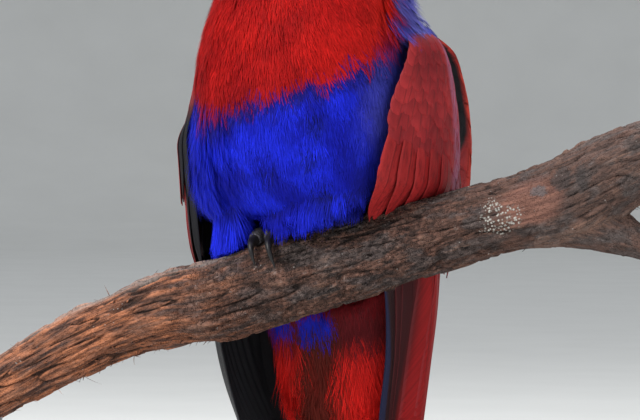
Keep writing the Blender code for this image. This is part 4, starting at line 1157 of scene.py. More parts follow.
order = np.argsort(-places[:, 2])
coat_pieces = []
for first in range(0, tuft_count, COAT_PIECE):
    chosen = order[first:first + COAT_PIECE]
    blocks, marks, homes, patches = [], [], [], []
    for kind in range(TUFT_KINDS):
        pick = chosen[kinds[chosen] == kind]
        rows = tufts[kind]
        blocks.append(clear_of_branch(ribbons(rows, pick)))
        count = len(pick)
        reach = rows[:, 3].reshape(STRANDS, 4)
        reach = np.concatenate([np.repeat(reach[:, :3], 2, axis=1), reach[:, 3:]], 1).ravel()
        barb = np.repeat(np.random.RandomState(60 + kind).rand(STRANDS), 7)
        mark = np.empty((count, STRANDS * 7, 3))
        mark[:, :, 0] = reach[None]
        mark[:, :, 1] = tone[pick][:, None]
        mark[:, :, 2] = (barb[None] + tone[pick][:, None] * 7.3) % 1.0
        marks.append(mark)
        homes.append(np.repeat(coloured_at[pick][:, None], STRANDS * 7, axis=1))
        turn = np.arctan2(places[pick][:, 0], -(places[pick][:, 1] + 5.0)) / math.tau + 0.5
        up = (places[pick][:, 2] - upright_low) / (upright_high - upright_low)
        wide = rows[:, 0].reshape(STRANDS, 4)
        wide = np.concatenate([np.repeat(wide[:, :3], 2, axis=1), wide[:, 3:]], 1).ravel()
        nudge = np.tile(np.array([-1, 1, -1, 1, -1, 1, 0]) * 0.04, STRANDS)
        u = turn[:, None] * 0.98 + 0.01 + ((wide + nudge) * 2.0)[None] * PATCH
        v = up[:, None] * 0.98 + 0.01 + (0.5 - reach)[None] * PATCH
        patches.append(np.stack([u, v], -1))
    points = np.concatenate([b.reshape(-1, 3) for b in blocks])
    each = STRANDS * 7
    amount = len(points) // each
    faces = [tuple(v + t * each for v in face) for t in range(amount) for face in tuft_faces]
    mesh = bpy.data.meshes.new("coat")
    mesh.from_pydata(points, [], faces)
    mesh.shade_smooth()
    set_mark(mesh, "tuft", np.concatenate([m.reshape(-1, 3) for m in marks]))
    set_mark(mesh, "root", np.concatenate([h.reshape(-1, 3) for h in homes]))
    unwrap = mesh.uv_layers.new(name="OFBake")
    corners = np.empty(len(mesh.loops), np.int32)
    mesh.loops.foreach_get("vertex_index", corners)
    flat = np.concatenate([p.reshape(-1, 2) for p in patches])[corners]
    unwrap.data.foreach_set("uv", flat.astype(np.float32).ravel())
    coat = bpy.data.objects.new(f"coat_{len(coat_pieces) + 1}", mesh)
    bpy.context.scene.collection.objects.link(coat)
    mesh.materials.append(feather_look.material)
    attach(coat, "root")
    coat_pieces.append(coat)


# Each folded wing is built feather by feather, as on the bird: primaries lowest, then secondaries, then
# greater, median and lesser coverts, each row over the roots of the last. One vane is modelled once, with its
# shaft and its thickness. Each copy is bent to its own place on the wing's curve, with splits in its edge.

ROLL = 5.0                         # how far the bird leans to its left, degrees
BIRD = Matrix.Translation(PERCH) @ Matrix.Rotation(math.radians(ROLL), 4, "Y") @ Matrix.Scale(MM, 4)
LEFT, RIGHT = 1, -1
WING = [  # z, left edge x y, right edge x y, bulge x y, trailing edge x y, as in the solids, mm
    (101.0, 38.0, -18.0, 34.0, -12.0, 44.0, -6.0, 33.0, 8.0),
    (92.0, 43.5, -25.0, 41.0, -16.0, 58.0, -4.0, 32.0, 25.0),
    (75.0, 40.0, -28.0, 46.0, -16.0, 70.0, 5.0, 27.0, 47.0),
    (55.0, 35.5, -29.5, 48.0, -11.0, 79.0, 16.0, 19.0, 62.0),
    (37.0, 32.0, -29.0, 47.0, -4.0, 82.0, 25.0, 12.0, 71.0),
    (15.0, 30.5, -17.0, 46.0, 6.0, 77.0, 36.0, 9.0, 78.0),
    (-5.0, 32.5, 3.0, 44.0, 15.0, 69.0, 42.0, 7.5, 81.0),
    (-30.0, 32.5, 17.0, 39.0, 20.0, 63.0, 45.0, 7.0, 82.0),
    (-57.0, 31.0, 24.0, 32.0, 23.0, 58.0, 50.0, 7.5, 83.0),
    (-90.0, 28.0, 44.0, 28.0, 44.0, 46.0, 66.0, 9.0, 84.0),
    (-128.0, 21.0, 74.0, 21.0, 74.0, 27.0, 84.0, 12.0, 90.0),
]
RIGHT_TUCK, RIGHT_LOOSE = 6.0, 13.0     # the right wing sits closer above and hangs open lower down
wing_rows = spline(WING, np.linspace(0, len(WING) - 1, 600))[::-1]


def wing_point(side, z, across, depth):
    """Points of a wing: across is 0 at its front edge and 1 at its back one, and depth goes inwards."""
    z, across, depth = (np.asarray(v, float) for v in np.broadcast_arrays(z, across, depth))
    row = [np.interp(z, wing_rows[:, 0], wing_rows[:, k]) for k in range(1, 9)]
    lead = np.stack(row[0:2] if side == LEFT else row[2:4], -1)
    loose = RIGHT_LOOSE * smoothstep(45.0, -8.0, z) * smoothstep(-80.0, -30.0, z)
    open_by = 0.0 if side == LEFT else loose - RIGHT_TUCK * smoothstep(0.0, 60.0, z)
    bulge = np.stack([row[4] + open_by, row[5]], -1)
    trail = np.stack(row[6:8], -1)
    u = across[..., None]
    spot = lead * (1 - u) ** 2 + bulge * 2 * u * (1 - u) + trail * u * u
    along = (bulge - lead) * (1 - u) + (trail - bulge) * u
    along /= np.linalg.norm(along, axis=-1, keepdims=True)
    spot = spot - np.stack([along[..., 1], -along[..., 0]], -1) * depth[..., None]
    return np.stack([side * spot[..., 0], spot[..., 1], z], -1)


def wing_chord(side, z):
    """The length across a wing at an array of heights."""
    steps = [wing_point(side, z, k / 8, 0.0) for k in range(9)]
    return sum(np.linalg.norm(b - a, axis=-1) for a, b in zip(steps, steps[1:]))


VANE_COLUMNS = (-1.0, -0.68, -0.36, -0.09, 0.0, 0.09, 0.36, 0.68, 1.0)
SMALL_COLUMNS = (-1.0, -0.55, 0.0, 0.55, 1.0)
VANE_THICK = (0.42, 0.20)          # mm, at the shaft and at the rim
SHAFT_RIDGE = 0.16


def unit_vane(rows, columns):
    """A flat plate of faces: how far along and across each point lies, which are under, and the faces."""
    start_fresh()
    bpy.ops.mesh.primitive_grid_add(x_subdivisions=len(columns) - 1, y_subdivisions=rows, size=2.0)
    vane = bpy.context.object
    thicken = vane.modifiers.new("thickness", "SOLIDIFY")
    thicken.thickness = 1.0
    thicken.offset = -1.0
    bpy.ops.object.modifier_apply(modifier="thickness")
    at = points_of(vane.data)
    faces = [tuple(face.vertices) for face in vane.data.polygons]
    bpy.data.objects.remove(vane)
    column = np.rint((at[:, 0] + 1.0) / 2.0 * (len(columns) - 1)).astype(int)
    return (1.0 - at[:, 1]) / 2.0, np.array(columns)[column], (at[:, 2] < -0.5).astype(float), faces


LONG_VANE = unit_vane(28, VANE_COLUMNS)
SMALL_VANE = unit_vane(9, SMALL_COLUMNS)
feather_chance = np.random.RandomState(21)


def vane_outline(along, root_width, blunt, point):
    """A vane's half width along it, as a share of its widest: blunt is where its rounded tip begins."""
    body = root_width + (1 - root_width) * smoothstep(0.0, 0.4, along)
    tip = np.clip((along - blunt) / (1 - blunt), 0.0, 1.0)
    return body * np.maximum(1 - tip ** point, 0.0) ** (1 / point) * 0.985 + 0.015


def split_edge(along, across, length):
    """Where the barbs of a vane have parted: a factor on its half width, with a few small notches."""
    factor = np.ones(len(along))
    for _ in range(feather_chance.randint(0, 4)):
        edge = feather_chance.choice((-1, 1))
        spot = feather_chance.uniform(0.35, 0.95)
        wide = feather_chance.uniform(0.6, 1.3) / length
        deep = feather_chance.uniform(0.06, 0.2)
        notch = np.clip(1 - np.abs(along - spot) / wide, 0.0, 1.0) * deep
        factor -= notch * (across * edge > 0.5)
    return factor


FOLD = ((0.41, 0.46), (0.55, 0.59))      # across the left wing: where the dark fold starts and ends
FOLD_LOW, FOLD_DEEP, BAND_OUT = (38.0, 48.0), 1.5, 3.4    # and its lower end, its depth, the band behind it, mm


RIGHT_OUT, RIGHT_IN = 1.6, 3.2            # how far the right wing's feathers stand off and, higher up, lie in, mm
ON_BRANCH = 11.0                          # how far the left wing's front feathers dip in to end behind the bark


def fold_at(side, z, across):
    """The left wing's shoulder feathers part in a fold, with a band of feathers that stands out behind it."""
    if side == RIGHT:
        out = smoothstep(0.02, 0.15, across) * smoothstep(58.0, 44.0, z) * smoothstep(-12.0, 6.0, z)
        return RIGHT_IN * smoothstep(44.0, 70.0, z) * smoothstep(0.95, 0.70, across) - RIGHT_OUT * out
    groove = smoothstep(*FOLD[0], across) * smoothstep(FOLD[1][1], FOLD[1][0], across) * smoothstep(*FOLD_LOW, z)
    band = smoothstep(*FOLD[1], across) * smoothstep(0.96, 0.80, across) * smoothstep(4.0, 30.0, z)
    ahead = smoothstep(0.12, 0.40, across) * smoothstep(FOLD[1][0], FOLD[0][0], across) * smoothstep(4.0, 30.0, z)
    dip = smoothstep(42.0, 24.0, z) * smoothstep(0.42, 0.25, across)
    return ON_BRANCH * dip + FOLD_DEEP * groove - BAND_OUT * band * smoothstep(99.0, 90.0, z) - 1.2 * ahead


def wing_feather(side, root, tip, width, depth, tilt, sink=3.0, blunt=0.72, point=2.0, bow=0.0, curl=0.0,
                 vane=LONG_VANE):
    """One feather of a wing as points in the bird's frame, and its marks. Root and tip are (z, across)."""
    s, c, under, _ = vane
    length = abs(root[0] - tip[0])
    z = root[0] + (tip[0] - root[0]) * s
    u = root[1] + (tip[1] - root[1]) * s + bow * s * (1 - s)
    half = width / 2 * vane_outline(s, 0.62, blunt, point)
    if vane is LONG_VANE:
        half = half * split_edge(s, c, length)
    droop = 0.10 * width * c * c * smoothstep(0.55, 1.0, s)
    own = depth + sink * np.maximum(0.0, 1 - s / 0.42) ** 2 + tilt * c * half
    own = own - 0.055 * half * (1 - c * c) - SHAFT_RIDGE * (np.abs(c) < 0.05) * (1 - 0.7 * s) - curl * s ** 3
    thick = VANE_THICK[1] + (VANE_THICK[0] - VANE_THICK[1]) * (1 - np.abs(c))
    level = z + droop
    u = u + c * half / wing_chord(side, level)
    own = own + under * thick + fold_at(side, level, u)
    points = wing_point(side, level, u, own)
    mark = np.stack([np.full(len(s), feather_chance.rand()), s, c], 1)
    size = np.stack([c * half, s * length, under], 1)
    place_on = np.stack([u, level, np.full(len(s), length)], 1)
    return points, mark, size, place_on


PRIMARY_COUNT = 9
PRIMARIES = {  # from the first at the wing's front edge to the last
    "across": (0.120, 0.14, 0.18, 0.24, 0.32, 0.40, 0.48),
    "tips": (-104.0, -118.0, -126.0, -121.0, -110.0, -96.0, -83.0),
    "tip_across": (0.10, 0.25, 0.40, 0.50, 0.56, 0.60, 0.62),
    "root": 2.0, "width": 12.5, "depths": (1.6, 3.2, 4.2, 4.6, 4.8), "tilt": 0.20,
}
TIERS = (  # name, count, across, roots, tips at even steps across, width, depth, tilt, blunt, point
    ("secondary", 12, (0.170, 0.95), (15.0, 24.0), (-72.0, -84.0, -84.0, -76.0, -52.0), 14.5, 2.6, 0.08, 0.82, 2.0),
    ("greater", 15, (0.10, 0.95), (54.0, 52.0), (22.0, 19.0, 8.0, 3.0, 2.0, 3.0, 6.0), 9.5, 0.1, 0.10, 0.55, 1.5),
    ("median", 12, (0.11, 0.94), (66.0, 66.0), (44.0, 38.0, 34.0, 33.0, 34.0, 36.0), 11.0, -0.6, 0.06, 0.55, 1.7),
    ("long", 5, (0.062, 0.31), (68.0, 60.0), (24.0, 22.5, 22.0, 21.0, 21.0), 9.6, -1.7, 0.13, 0.50, 1.35),
)
COVERT_ROWS, COVERT_TOP, COVERT_STEP = 12, 99.5, 4.5      # the small coverts' rows, from the lowest up
COVERT_LONG, COVERT_WIDE = 15.0, 11.5
OPEN_LONGER = 26.0                    # how much further the open right wing's front coverts reach down
LONG_FRONT, LONG_TOP = 0.29, 70.0     # the long pointed feathers show forward of this and below this height
KINDS = {"primary": 0.0, "secondary": 0.35, "greater": 0.7, "median": 0.85, "long": 0.85, "covert": 1.0}


def spread(values, share):
    """A value along a list given at even places."""
    return float(np.interp(share, np.linspace(0, 1, len(values)), values))


def flight_vanes(side):
    """The long feathers of a folded wing, lowest first."""
    made = []
    for k in range(PRIMARY_COUNT):
        share = k / (PRIMARY_COUNT - 1)
        made.append(("primary", wing_feather(
            side, (PRIMARIES["root"], spread(PRIMARIES["across"], share)),
            (spread(PRIMARIES["tips"], share), spread(PRIMARIES["tip_across"], share)),
            PRIMARIES["width"], spread(PRIMARIES["depths"], share), PRIMARIES["tilt"], sink=0.0, blunt=0.86, point=1.6)))
    for name, count, across, tier_roots, tier_tips, width, depth, tilt, blunt, point in TIERS:
        for k in range(count):
            share = k / (count - 1)
            u = across[0] + (across[1] - across[0]) * share
            root = tier_roots[0] + (tier_roots[1] - tier_roots[0]) * share
            tip = spread(tier_tips, share) + feather_chance.uniform(-1.2, 1.2)
            if side == RIGHT:
                tip -= OPEN_LONGER * (name == "greater") * (1 - share)
            made.append((name, wing_feather(
                side, (root, u), (tip, u + feather_chance.uniform(-0.012, 0.012)), width,
                depth + feather_chance.uniform(-0.12, 0.12), tilt, blunt=blunt, point=point,
                curl=feather_chance.uniform(0.0, 0.3))))
    return made


def covert_vanes(side):
    """The small round feathers over a wing's shoulder, lowest row first, each row half a step along."""
    made = []
    for row in range(COVERT_ROWS):
        z = COVERT_TOP - COVERT_STEP * (COVERT_ROWS - 1 - row)
        chord = float(wing_chord(side, np.array([z - 8.0]))[0])
        size = 1.0 - 0.30 * row / (COVERT_ROWS - 1)
        count = max(int(round(chord / (COVERT_WIDE * size * 0.66))), 5)
        front_end = 0.045 + 0.055 * float(smoothstep(78.0, 50.0, z))
        steps = np.arange(count) + 0.5 * (row % 2)
        for step in (np.insert(steps, 0, 0.0) if row % 2 else steps):
            u = front_end + (0.94 - front_end) * step / (count - 0.5)
            if u < LONG_FRONT and z < LONG_TOP - 18.0 * u / LONG_FRONT:
                continue
            slip = feather_chance.uniform(-0.012, 0.012)
            tip = z - COVERT_LONG * size + feather_chance.uniform(-1.0, 1.0)
            made.append(("covert", wing_feather(
                side, (z, u), (tip, u + slip), COVERT_WIDE * size, -0.9 - 0.11 * row, 0.05, sink=2.4,
                blunt=0.42, curl=feather_chance.uniform(0.0, 0.2), vane=SMALL_VANE)))
    return made


def feathers_as_one(name, vanes, matrix, kinds, faces):
    """Joins like feathers in one mesh, with the marks that their finish reads."""
    made = repeated(name, [points for points, *_ in vanes], faces)
    set_mark(made.data, "vane", np.concatenate([mark for _, mark, _, _ in vanes]))
    set_mark(made.data, "size", np.concatenate([size for _, _, size, _ in vanes]) * MM)
    row_marks = []
    for (_, _, _, place_on), kind in zip(vanes, kinds):
        row_marks.append(np.column_stack([place_on[:, 0], place_on[:, 1] * MM, np.full(len(place_on), kind)]))
    set_mark(made.data, "row", np.concatenate(row_marks))
    settle(made, matrix)
    start_fresh()
    bpy.context.view_layer.objects.active = made
    made.select_set(True)
    bpy.ops.object.mode_set(mode="EDIT")
    bpy.ops.mesh.select_all(action="SELECT")
    bpy.ops.mesh.normals_make_consistent(inside=False)
    bpy.ops.object.mode_set(mode="OBJECT")
    return made


wings = []
for side, word in ((LEFT, "left"), (RIGHT, "right")):
    for kind, vanes, vane in (("flight", flight_vanes(side), LONG_VANE), ("covert", covert_vanes(side), SMALL_VANE)):
        wing = feathers_as_one(f"wing_{kind}_feathers_{word}", [shape for _, shape in vanes], BIRD,
                               [KINDS[name] for name, _ in vanes], vane[3])
        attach(wing, "root")
        if kind == "flight":
            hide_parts("wing_" + word)
        wings.append(wing)

wing_look = Finish("wing_feather_vanes", roughness=0.5, specular_ior_level=0.14)


def vane_pattern(look):
    """What every stiff feather has: fine slanting barbs, a shaft, and a paler worn rim."""
    own_tone, along, across = look.parts(look.marked("vane"))
    out, down, under = look.parts(look.marked("size"))
    away = across.math("ABSOLUTE")
    slant = down - out.math("ABSOLUTE") * 2.0
    barbs = (slant * 9000.0).math("SINE") * 0.5 + 0.5
    streak = look.grain(look.node("CombineXYZ", X=slant * 900.0, Y=own_tone * 40.0, Z=out * 60.0), 1.0, 3.0, 0.6)
    shaft = away.rise(0.075, 0.03)
    rim = (away + (streak - 0.5) * 0.16).rise(0.80, 0.99) + (along + (streak - 0.5) * 0.05).rise(0.93, 0.995)
    look.lift(barbs * 0.25 + streak * 0.8 + shaft * 1.2, 0.00016, 0.75)
    return own_tone, along, across, under, streak, shaft, rim.math("MINIMUM", 1.0)


tone_of, along_vane, across_vane, under_vane, streaks, shaft, rim = vane_pattern(wing_look)
wing_u, wing_z, kind_of = wing_look.parts(wing_look.marked("row"))
wing_z = wing_z / MM
wing_px, _, _ = wing_look.parts(wing_look.place())
on_left = (wing_px - PERCH.x).rise(-0.002, 0.002)
drift = wing_look.grain(wing_look.stretched(wing_look.place(), 70.0, 70.0, 30.0), 1.0, 4.0, 0.6)
strands = wing_look.grain(wing_look.stretched(wing_look.place(), 900.0, 900.0, 90.0), 1.0, 3.0, 0.6)

# Coverts: smooth crimson, each a little darker at its root and faintly paler at its rim
covert = wing_look.mix(drift.rise(0.30, 0.70), (0.230, 0.014, 0.019), (0.400, 0.028, 0.031))
covert = wing_look.mix(strands.rise(0.40, 0.75) * 0.30, covert, (0.100, 0.007, 0.010))
covert = wing_look.mix(rim * 0.22, covert, (0.400, 0.060, 0.065))
covert = wing_look.mix(along_vane.rise(0.85, 0.40) * 0.35, covert, (0.100, 0.007, 0.010))
covert = wing_look.mix(
    kind_of.rise(0.95, 0.87) * wing_u.rise(0.34, 0.24) * 0.35, covert, (0.480, 0.022, 0.018))
covert = wing_look.mix(
    kind_of.rise(0.95, 0.87) * strands.rise(0.46, 0.70) * 0.45, covert, (0.070, 0.006, 0.009))

# Flight feathers: dark maroon near the front edge and bright red behind, and black inside
front_end = 0.30 + (wing_z + 41.0) * 0.001
flight = wing_look.mix(streaks.rise(0.2, 0.8), (0.180, 0.006, 0.007), (0.320, 0.010, 0.012))
flight = wing_look.mix((wing_u - front_end).rise(0.03, -0.03) * 0.95, flight, (0.034, 0.007, 0.009))
flight = wing_look.mix(rim * 0.25, flight, (0.330, 0.060, 0.070))
outer = wing_look.mix(wing_u.rise(0.105, 0.078), (0.022, 0.006, 0.008), (0.016, 0.019, 0.058))
wing_colour = wing_look.mix(kind_of.rise(0.45, 0.62), flight, covert)
wing_colour = wing_look.mix(kind_of.rise(0.20, 0.10), wing_colour, outer)

# Round the left wing's fold: a lavender fringe of painted highlight, the black of its shadow painted in, and an
# orange-red band brightened by painted backlight
above_fold = wing_z.rise(32.0, 42.0) * on_left
# Painted highlight: a lavender sheen along the edge of the feathers before the fold
fringe = (wing_u - 0.385).math("ABSOLUTE").rise(0.050, 0.010) * above_fold * strands.rise(0.30, 0.60)
wing_colour = wing_look.mix(fringe * 0.75, wing_colour, (0.360, 0.130, 0.230))
# The band is red feathers, painted bright orange-red as backlight where it forms the wing's outline
band = wing_u.rise(0.56, 0.60) * wing_u.rise(0.71, 0.61) * (wing_z + drift * 24.0).rise(26.0, 58.0) * on_left
wing_colour = wing_look.mix(band * drift.rise(0.30, 0.55), wing_colour, (0.560, 0.035, 0.014))
black_fold = (wing_u - (50.0 - wing_z).rise(0.0, 20.0) * 0.03).rise(*FOLD[0]) * on_left
black_fold = black_fold * (wing_u + (62.0 - wing_z).rise(0.0, 26.0) * 0.10).rise(FOLD[1][1], FOLD[1][0])
black_fold = (black_fold * (wing_z + strands * 10.0).rise(38.0, 54.0) * 2.0).math("MINIMUM", 1.0)
wing_colour = wing_look.mix(black_fold, wing_colour, (0.006, 0.005, 0.007))

# The right wing shows its black inner half from the front
inner = wing_u.rise(0.16, 0.12).math("MAXIMUM", wing_z.rise(-3.0, -9.0) * wing_u.rise(0.52, 0.44))
inner = inner * (1.0 - on_left) * wing_z.rise(70.0, 55.0)
black = wing_look.mix(streaks, (0.007, 0.007, 0.009), (0.020, 0.020, 0.025))
wing_colour = wing_look.mix(shaft * 0.35, wing_colour, (0.050, 0.008, 0.010))
wing_shade = 0.86 + tone_of * 0.22
wing_colour = wing_look.mix(
    1.0, wing_colour, wing_look.node("CombineXYZ", X=wing_shade, Y=wing_shade, Z=wing_shade), "MULTIPLY")
wing_colour = wing_look.mix(inner.math("MAXIMUM", under_vane.rise(0.86 * MM, 0.99 * MM)), wing_colour, black)
wing_look.feed(Base_Color=wing_colour, Roughness=0.42 + streaks * 0.22 + inner * wing_z.rise(-12.0, 0.0) * 0.3)
for wing in wings:
    wing.data.materials.append(wing_look.material)


# The tail is a short, blunt fan of five pairs of stiff red feathers, laid under a middle pair, with soft red
# coverts over the roots on both faces. The same vane is bent to the tail's own surface for each.

TAIL_ROOT, TAIL_TIP = (52.0, -46.0), (74.0, -156.0)
TAIL_PAIRS = 5
TAIL_NEAR = (4.3, 7.6)
TAIL_SPREAD = (1.3, 3.05)
TAIL_WIDTH, TAIL_STEP = 15.0, 0.78


def tail_point(share, x, depth):
    """Points of the tail: share runs from root to tip, and depth goes towards the belly side."""
    y = TAIL_ROOT[0] + (TAIL_TIP[0] - TAIL_ROOT[0]) * share
    z = TAIL_ROOT[1] + (TAIL_TIP[1] - TAIL_ROOT[1]) * share
    arch = 2.2 * (x / 18.0) ** 2
    return np.stack([x, y - depth - arch, z - 0.2 * depth], -1)


def tail_feather(x_root, x_tip, start, end, width, depth_root, depth_tip, blunt=0.86, front=False):
    """One feather of the tail. Its outer face looks back, or forwards for the coverts under it."""
    s, c, under, _ = LONG_VANE
    length = (end - start) * 112.0
    half = width / 2 * vane_outline(s, 0.5, blunt, 2.2) * split_edge(s, c, length)
    facing = -1.0 if front else 1.0
    x = x_root + (x_tip - x_root) * s + c * half
    thick = VANE_THICK[1] + (VANE_THICK[0] - VANE_THICK[1]) * (1 - np.abs(c))
    lift = 0.05 * half * (1 - c * c) + SHAFT_RIDGE * (np.abs(c) < 0.05) * (1 - 0.7 * s)
    depth = depth_root + (depth_tip - depth_root) * s + facing * (under * thick - lift)
    share = start + (end - start) * s - 0.012 * c * c * smoothstep(0.6, 1.0, s)
    points = tail_point(share, x, depth)
    mark = np.stack([np.full(len(s), feather_chance.rand()), s, c], 1)
    size = np.stack([c * half, s * length, under], 1)
    return points, mark, size, np.stack([c * 0, points[:, 2], np.full(len(s), length)], 1)


tail_vanes = []
for index in range(TAIL_PAIRS + 1):
    for side in (LEFT, RIGHT) if index else (LEFT,):
        end = 1.0 - 0.016 * index ** 1.5
        near = side * (TAIL_NEAR[0] + TAIL_SPREAD[0] * (index - 1)) if index else 0.0
        far = side * (TAIL_NEAR[1] + TAIL_SPREAD[1] * (index - 1)) if index else 0.0
        tail_vanes.append(tail_feather(near, far, 0.04, end, TAIL_WIDTH, TAIL_STEP * index, TAIL_STEP * index))
TAIL_COVERTS = (  # how many, furthest x, start, end at the middle, width, depth at root and tip, front
    (7, 13.5, 0.02, 0.53, 10.5, 5.4, 6.6, True),
    (6, 12.0, 0.01, 0.42, 10.0, 7.2, 8.6, True),
    (5, 10.5, 0.00, 0.31, 10.0, 8.4, 10.4, True),
    (6, 12.5, 0.02, 0.40, 10.5, -3.0, -1.2, False),
    (5, 11.0, 0.00, 0.26, 10.5, -4.6, -2.8, False),
)
for count, furthest, start, end, width, depth_root, depth_tip, front in TAIL_COVERTS:
    for k in range(count):
        x = furthest * (2 * k / (count - 1) - 1)
        short = 0.07 * (x / furthest) ** 2 + feather_chance.uniform(-0.012, 0.012)
        layer = 0.35 * (k % 2) * (1 if front else -1)
        tail_vanes.append(tail_feather(x * 0.85, x, start, end - short, width, depth_root + layer,
                                       depth_tip + layer, blunt=0.7, front=front))
tail = feathers_as_one("tail_feathers", tail_vanes, BIRD, [0.5] * len(tail_vanes), LONG_VANE[3])
tail_look = Finish("tail_feather_vanes", roughness=0.55, specular_ior_level=0.14)
tone_of, along_vane, across_vane, under_vane, streaks, shaft, rim = vane_pattern(tail_look)
_, tail_z, _ = tail_look.parts(tail_look.marked("row"))
tail_red = tail_look.mix(tail_z.rise(-0.090, -0.150), (0.270, 0.012, 0.014), (0.480, 0.030, 0.018))
tail_red = tail_look.mix(streaks.rise(0.30, 0.72) * 0.45, tail_red, (0.120, 0.008, 0.010))
tail_red = tail_look.mix(rim * 0.25, tail_red, (0.520, 0.100, 0.060))
tail_red = tail_look.mix(shaft * 0.5, tail_red, (0.060, 0.010, 0.010))
tail_tone = 0.78 + tone_of * 0.36
tail_red = tail_look.mix(1.0, tail_red, tail_look.node(
    "CombineXYZ", X=tail_tone, Y=tail_tone, Z=tail_tone), "MULTIPLY")
tail_look.feed(Base_Color=tail_red, Roughness=0.44 + streaks * 0.2)
tail.data.materials.append(tail_look.material)
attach(tail, "root")
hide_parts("tail")


# The feet are dry grey skin in small scales, two toes forward and two back, gripping the bark.
# Each toe is a tube along the branch's own curve, with pads below its joints and rows of scutes on top,
# and a short shank runs up from the foot's pad into the belly's feathers.

FEET_X = {RIGHT: -8.5, LEFT: 23.0}
FOOT_ANGLE = 122.0
FRONT_SHORT = {RIGHT: 0.0, LEFT: 26.0}
TOES = {  # x of its root and its end from the foot, last angle, its claw's last angle
    "front_inner": (2.0, 3.4, 64.0, 26.0),
    "front_outer": (-2.2, -3.5, 56.0, 13.0),
    "back_inner": (2.0, 5.0, 172.0, 208.0),
    "back_outer": (-2.5, -7.5, 184.0, 222.0),
}
TOE_RADII = (3.5, 3.3, 2.9, 2.6)
TOE_SIDES, TOE_ROWS = 28, 76
SCUTE_LONG = 1.15          # mm from one scute to the next
SHANK_RISE = 30.0


def tube_of(rows, sides, radii_of):
    """A closed tube along a line of points. radii_of(share, around) gives its radius at each point."""
    made, on, around, reach = roll("tube", len(rows) - 1, sides)
    line = np.asarray(rows, float)
    index = on * (len(line) - 1)
    low = np.minimum(index.astype(int), len(line) - 2)
    part = (index - low)[:, None]
    spot = line[low] * (1 - part) + line[low + 1] * part
    along = np.gradient(line, axis=0)
    along /= np.linalg.norm(along, axis=1, keepdims=True)
    across = np.empty_like(line)
    across[0] = np.cross(along[0], (1.0, 0.0, 0.0) if abs(along[0][0]) < 0.8 else (0.0, 1.0, 0.0))
    for k in range(len(line)):
        start = across[k - 1] if k else across[0]
        start = start - along[k] * (start @ along[k])
        across[k] = start / np.linalg.norm(start)
    one = across[low] * (1 - part) + across[np.minimum(low + 1, len(line) - 1)] * part
    heading = along[low] * (1 - part) + along[np.minimum(low + 1, len(line) - 1)] * part
    two = np.cross(heading, one)
    size = (radii_of(on, around) * reach)[:, None]
    set_points(made.data, spot + size * (one * np.cos(around)[:, None] + two * np.sin(around)[:, None]))
    set_mark(made.data, "on", np.stack([on, np.cos(around), np.sin(around)], 1))
    return made


def toe_line(foot_x, spread_x, start, end, height, steps):
    """Points over the bark from one angle to another, spreading sideways on the way."""
    share = np.linspace(0.0, 1.0, steps + 1)
    x = foot_x + spread_x[0] + (spread_x[1] - spread_x[0]) * share
    angle = np.radians(start + (end - start) * share)
    return branch_point(x, angle, height(share))


def claw_height(share):
    """How high a claw's middle stands over the bark, from its root to its tip."""
    return 3.0 + 2.2 * np.sin(math.pi * np.minimum(1.0, share * 1.15)) - 2.0 * share


def toe_radius(length):
    """A toe's radius along and round it: joints, pads beneath, and scutes across its back."""
    def radius(on, around):
        base = spread_array(TOE_RADII, on)
        joints = 0.30 * np.exp(-((on - 0.38) / 0.07) ** 2) + 0.28 * np.exp(-((on - 0.74) / 0.07) ** 2)
        back = smoothstep(-0.2, 0.6, np.cos(around - math.pi))
        phase = on * length / SCUTE_LONG
        scute = np.abs(np.sin(math.pi * phase)) ** 0.6 * 0.22 * back
        pebble = 0.10 * np.sin(phase * 2.4 + 3 * around) * np.sin(around * 7.0 + phase) * (1 - back)
        tip = np.sqrt(np.clip(1 - ((on - 0.93) / 0.075) ** 2, 0.0, 1.0)) * (on > 0.93) + (on <= 0.93)
        return (base + joints + scute + pebble - 0.12) * np.maximum(tip, 0.25)
    return radius


def spread_array(values, share):
    """Values along a list given at even places, for an array of shares."""
    return np.interp(share, np.linspace(0, 1, len(values)), values)


def joined(name, pieces):
    """Several pieces as one object."""
    start_fresh()
    for piece in pieces:
        piece.select_set(True)
    bpy.context.view_layer.objects.active = pieces[0]
    bpy.ops.object.join()
    made = bpy.context.object
    made.name = name
    return made


foot_skin = Finish("scaly_foot_skin", specular_ior_level=0.35)
foot_at = foot_skin.place()
scales = foot_skin.cells(foot_at, 1150.0, "DISTANCE_TO_EDGE").rise(0.02, 0.16)
dust = foot_skin.grain(foot_at, 420.0, 3.0)
foot_colour = foot_skin.mix(scales, (0.030, 0.028, 0.032), (0.105, 0.098, 0.112))
foot_colour = foot_skin.mix(dust.rise(0.55, 0.75) * 0.55, foot_colour, (0.230, 0.215, 0.220))
foot_skin.lift(scales + dust * 0.2, 0.00022, 0.8)
foot_skin.feed(Base_Color=foot_colour, Roughness=0.55 + dust * 0.2)

claw_horn = Finish("claw_horn", specular_ior_level=0.35)
claw_on, _, _ = claw_horn.parts(claw_horn.marked("on"))
claw_grain = claw_horn.grain(claw_horn.stretched(claw_horn.place(), 500.0, 500.0, 500.0), 1.0, 3.0)
claw_colour = claw_horn.mix(claw_on.rise(0.0, 0.35), (0.030, 0.027, 0.028), (0.007, 0.006, 0.007))
claw_colour = claw_horn.mix(claw_grain.rise(0.55, 0.8) * 0.3, claw_colour, (0.060, 0.054, 0.050))
claw_horn.lift(claw_grain, 0.0001, 0.5)
claw_horn.feed(Base_Color=claw_colour, Roughness=0.30 + claw_grain * 0.25)

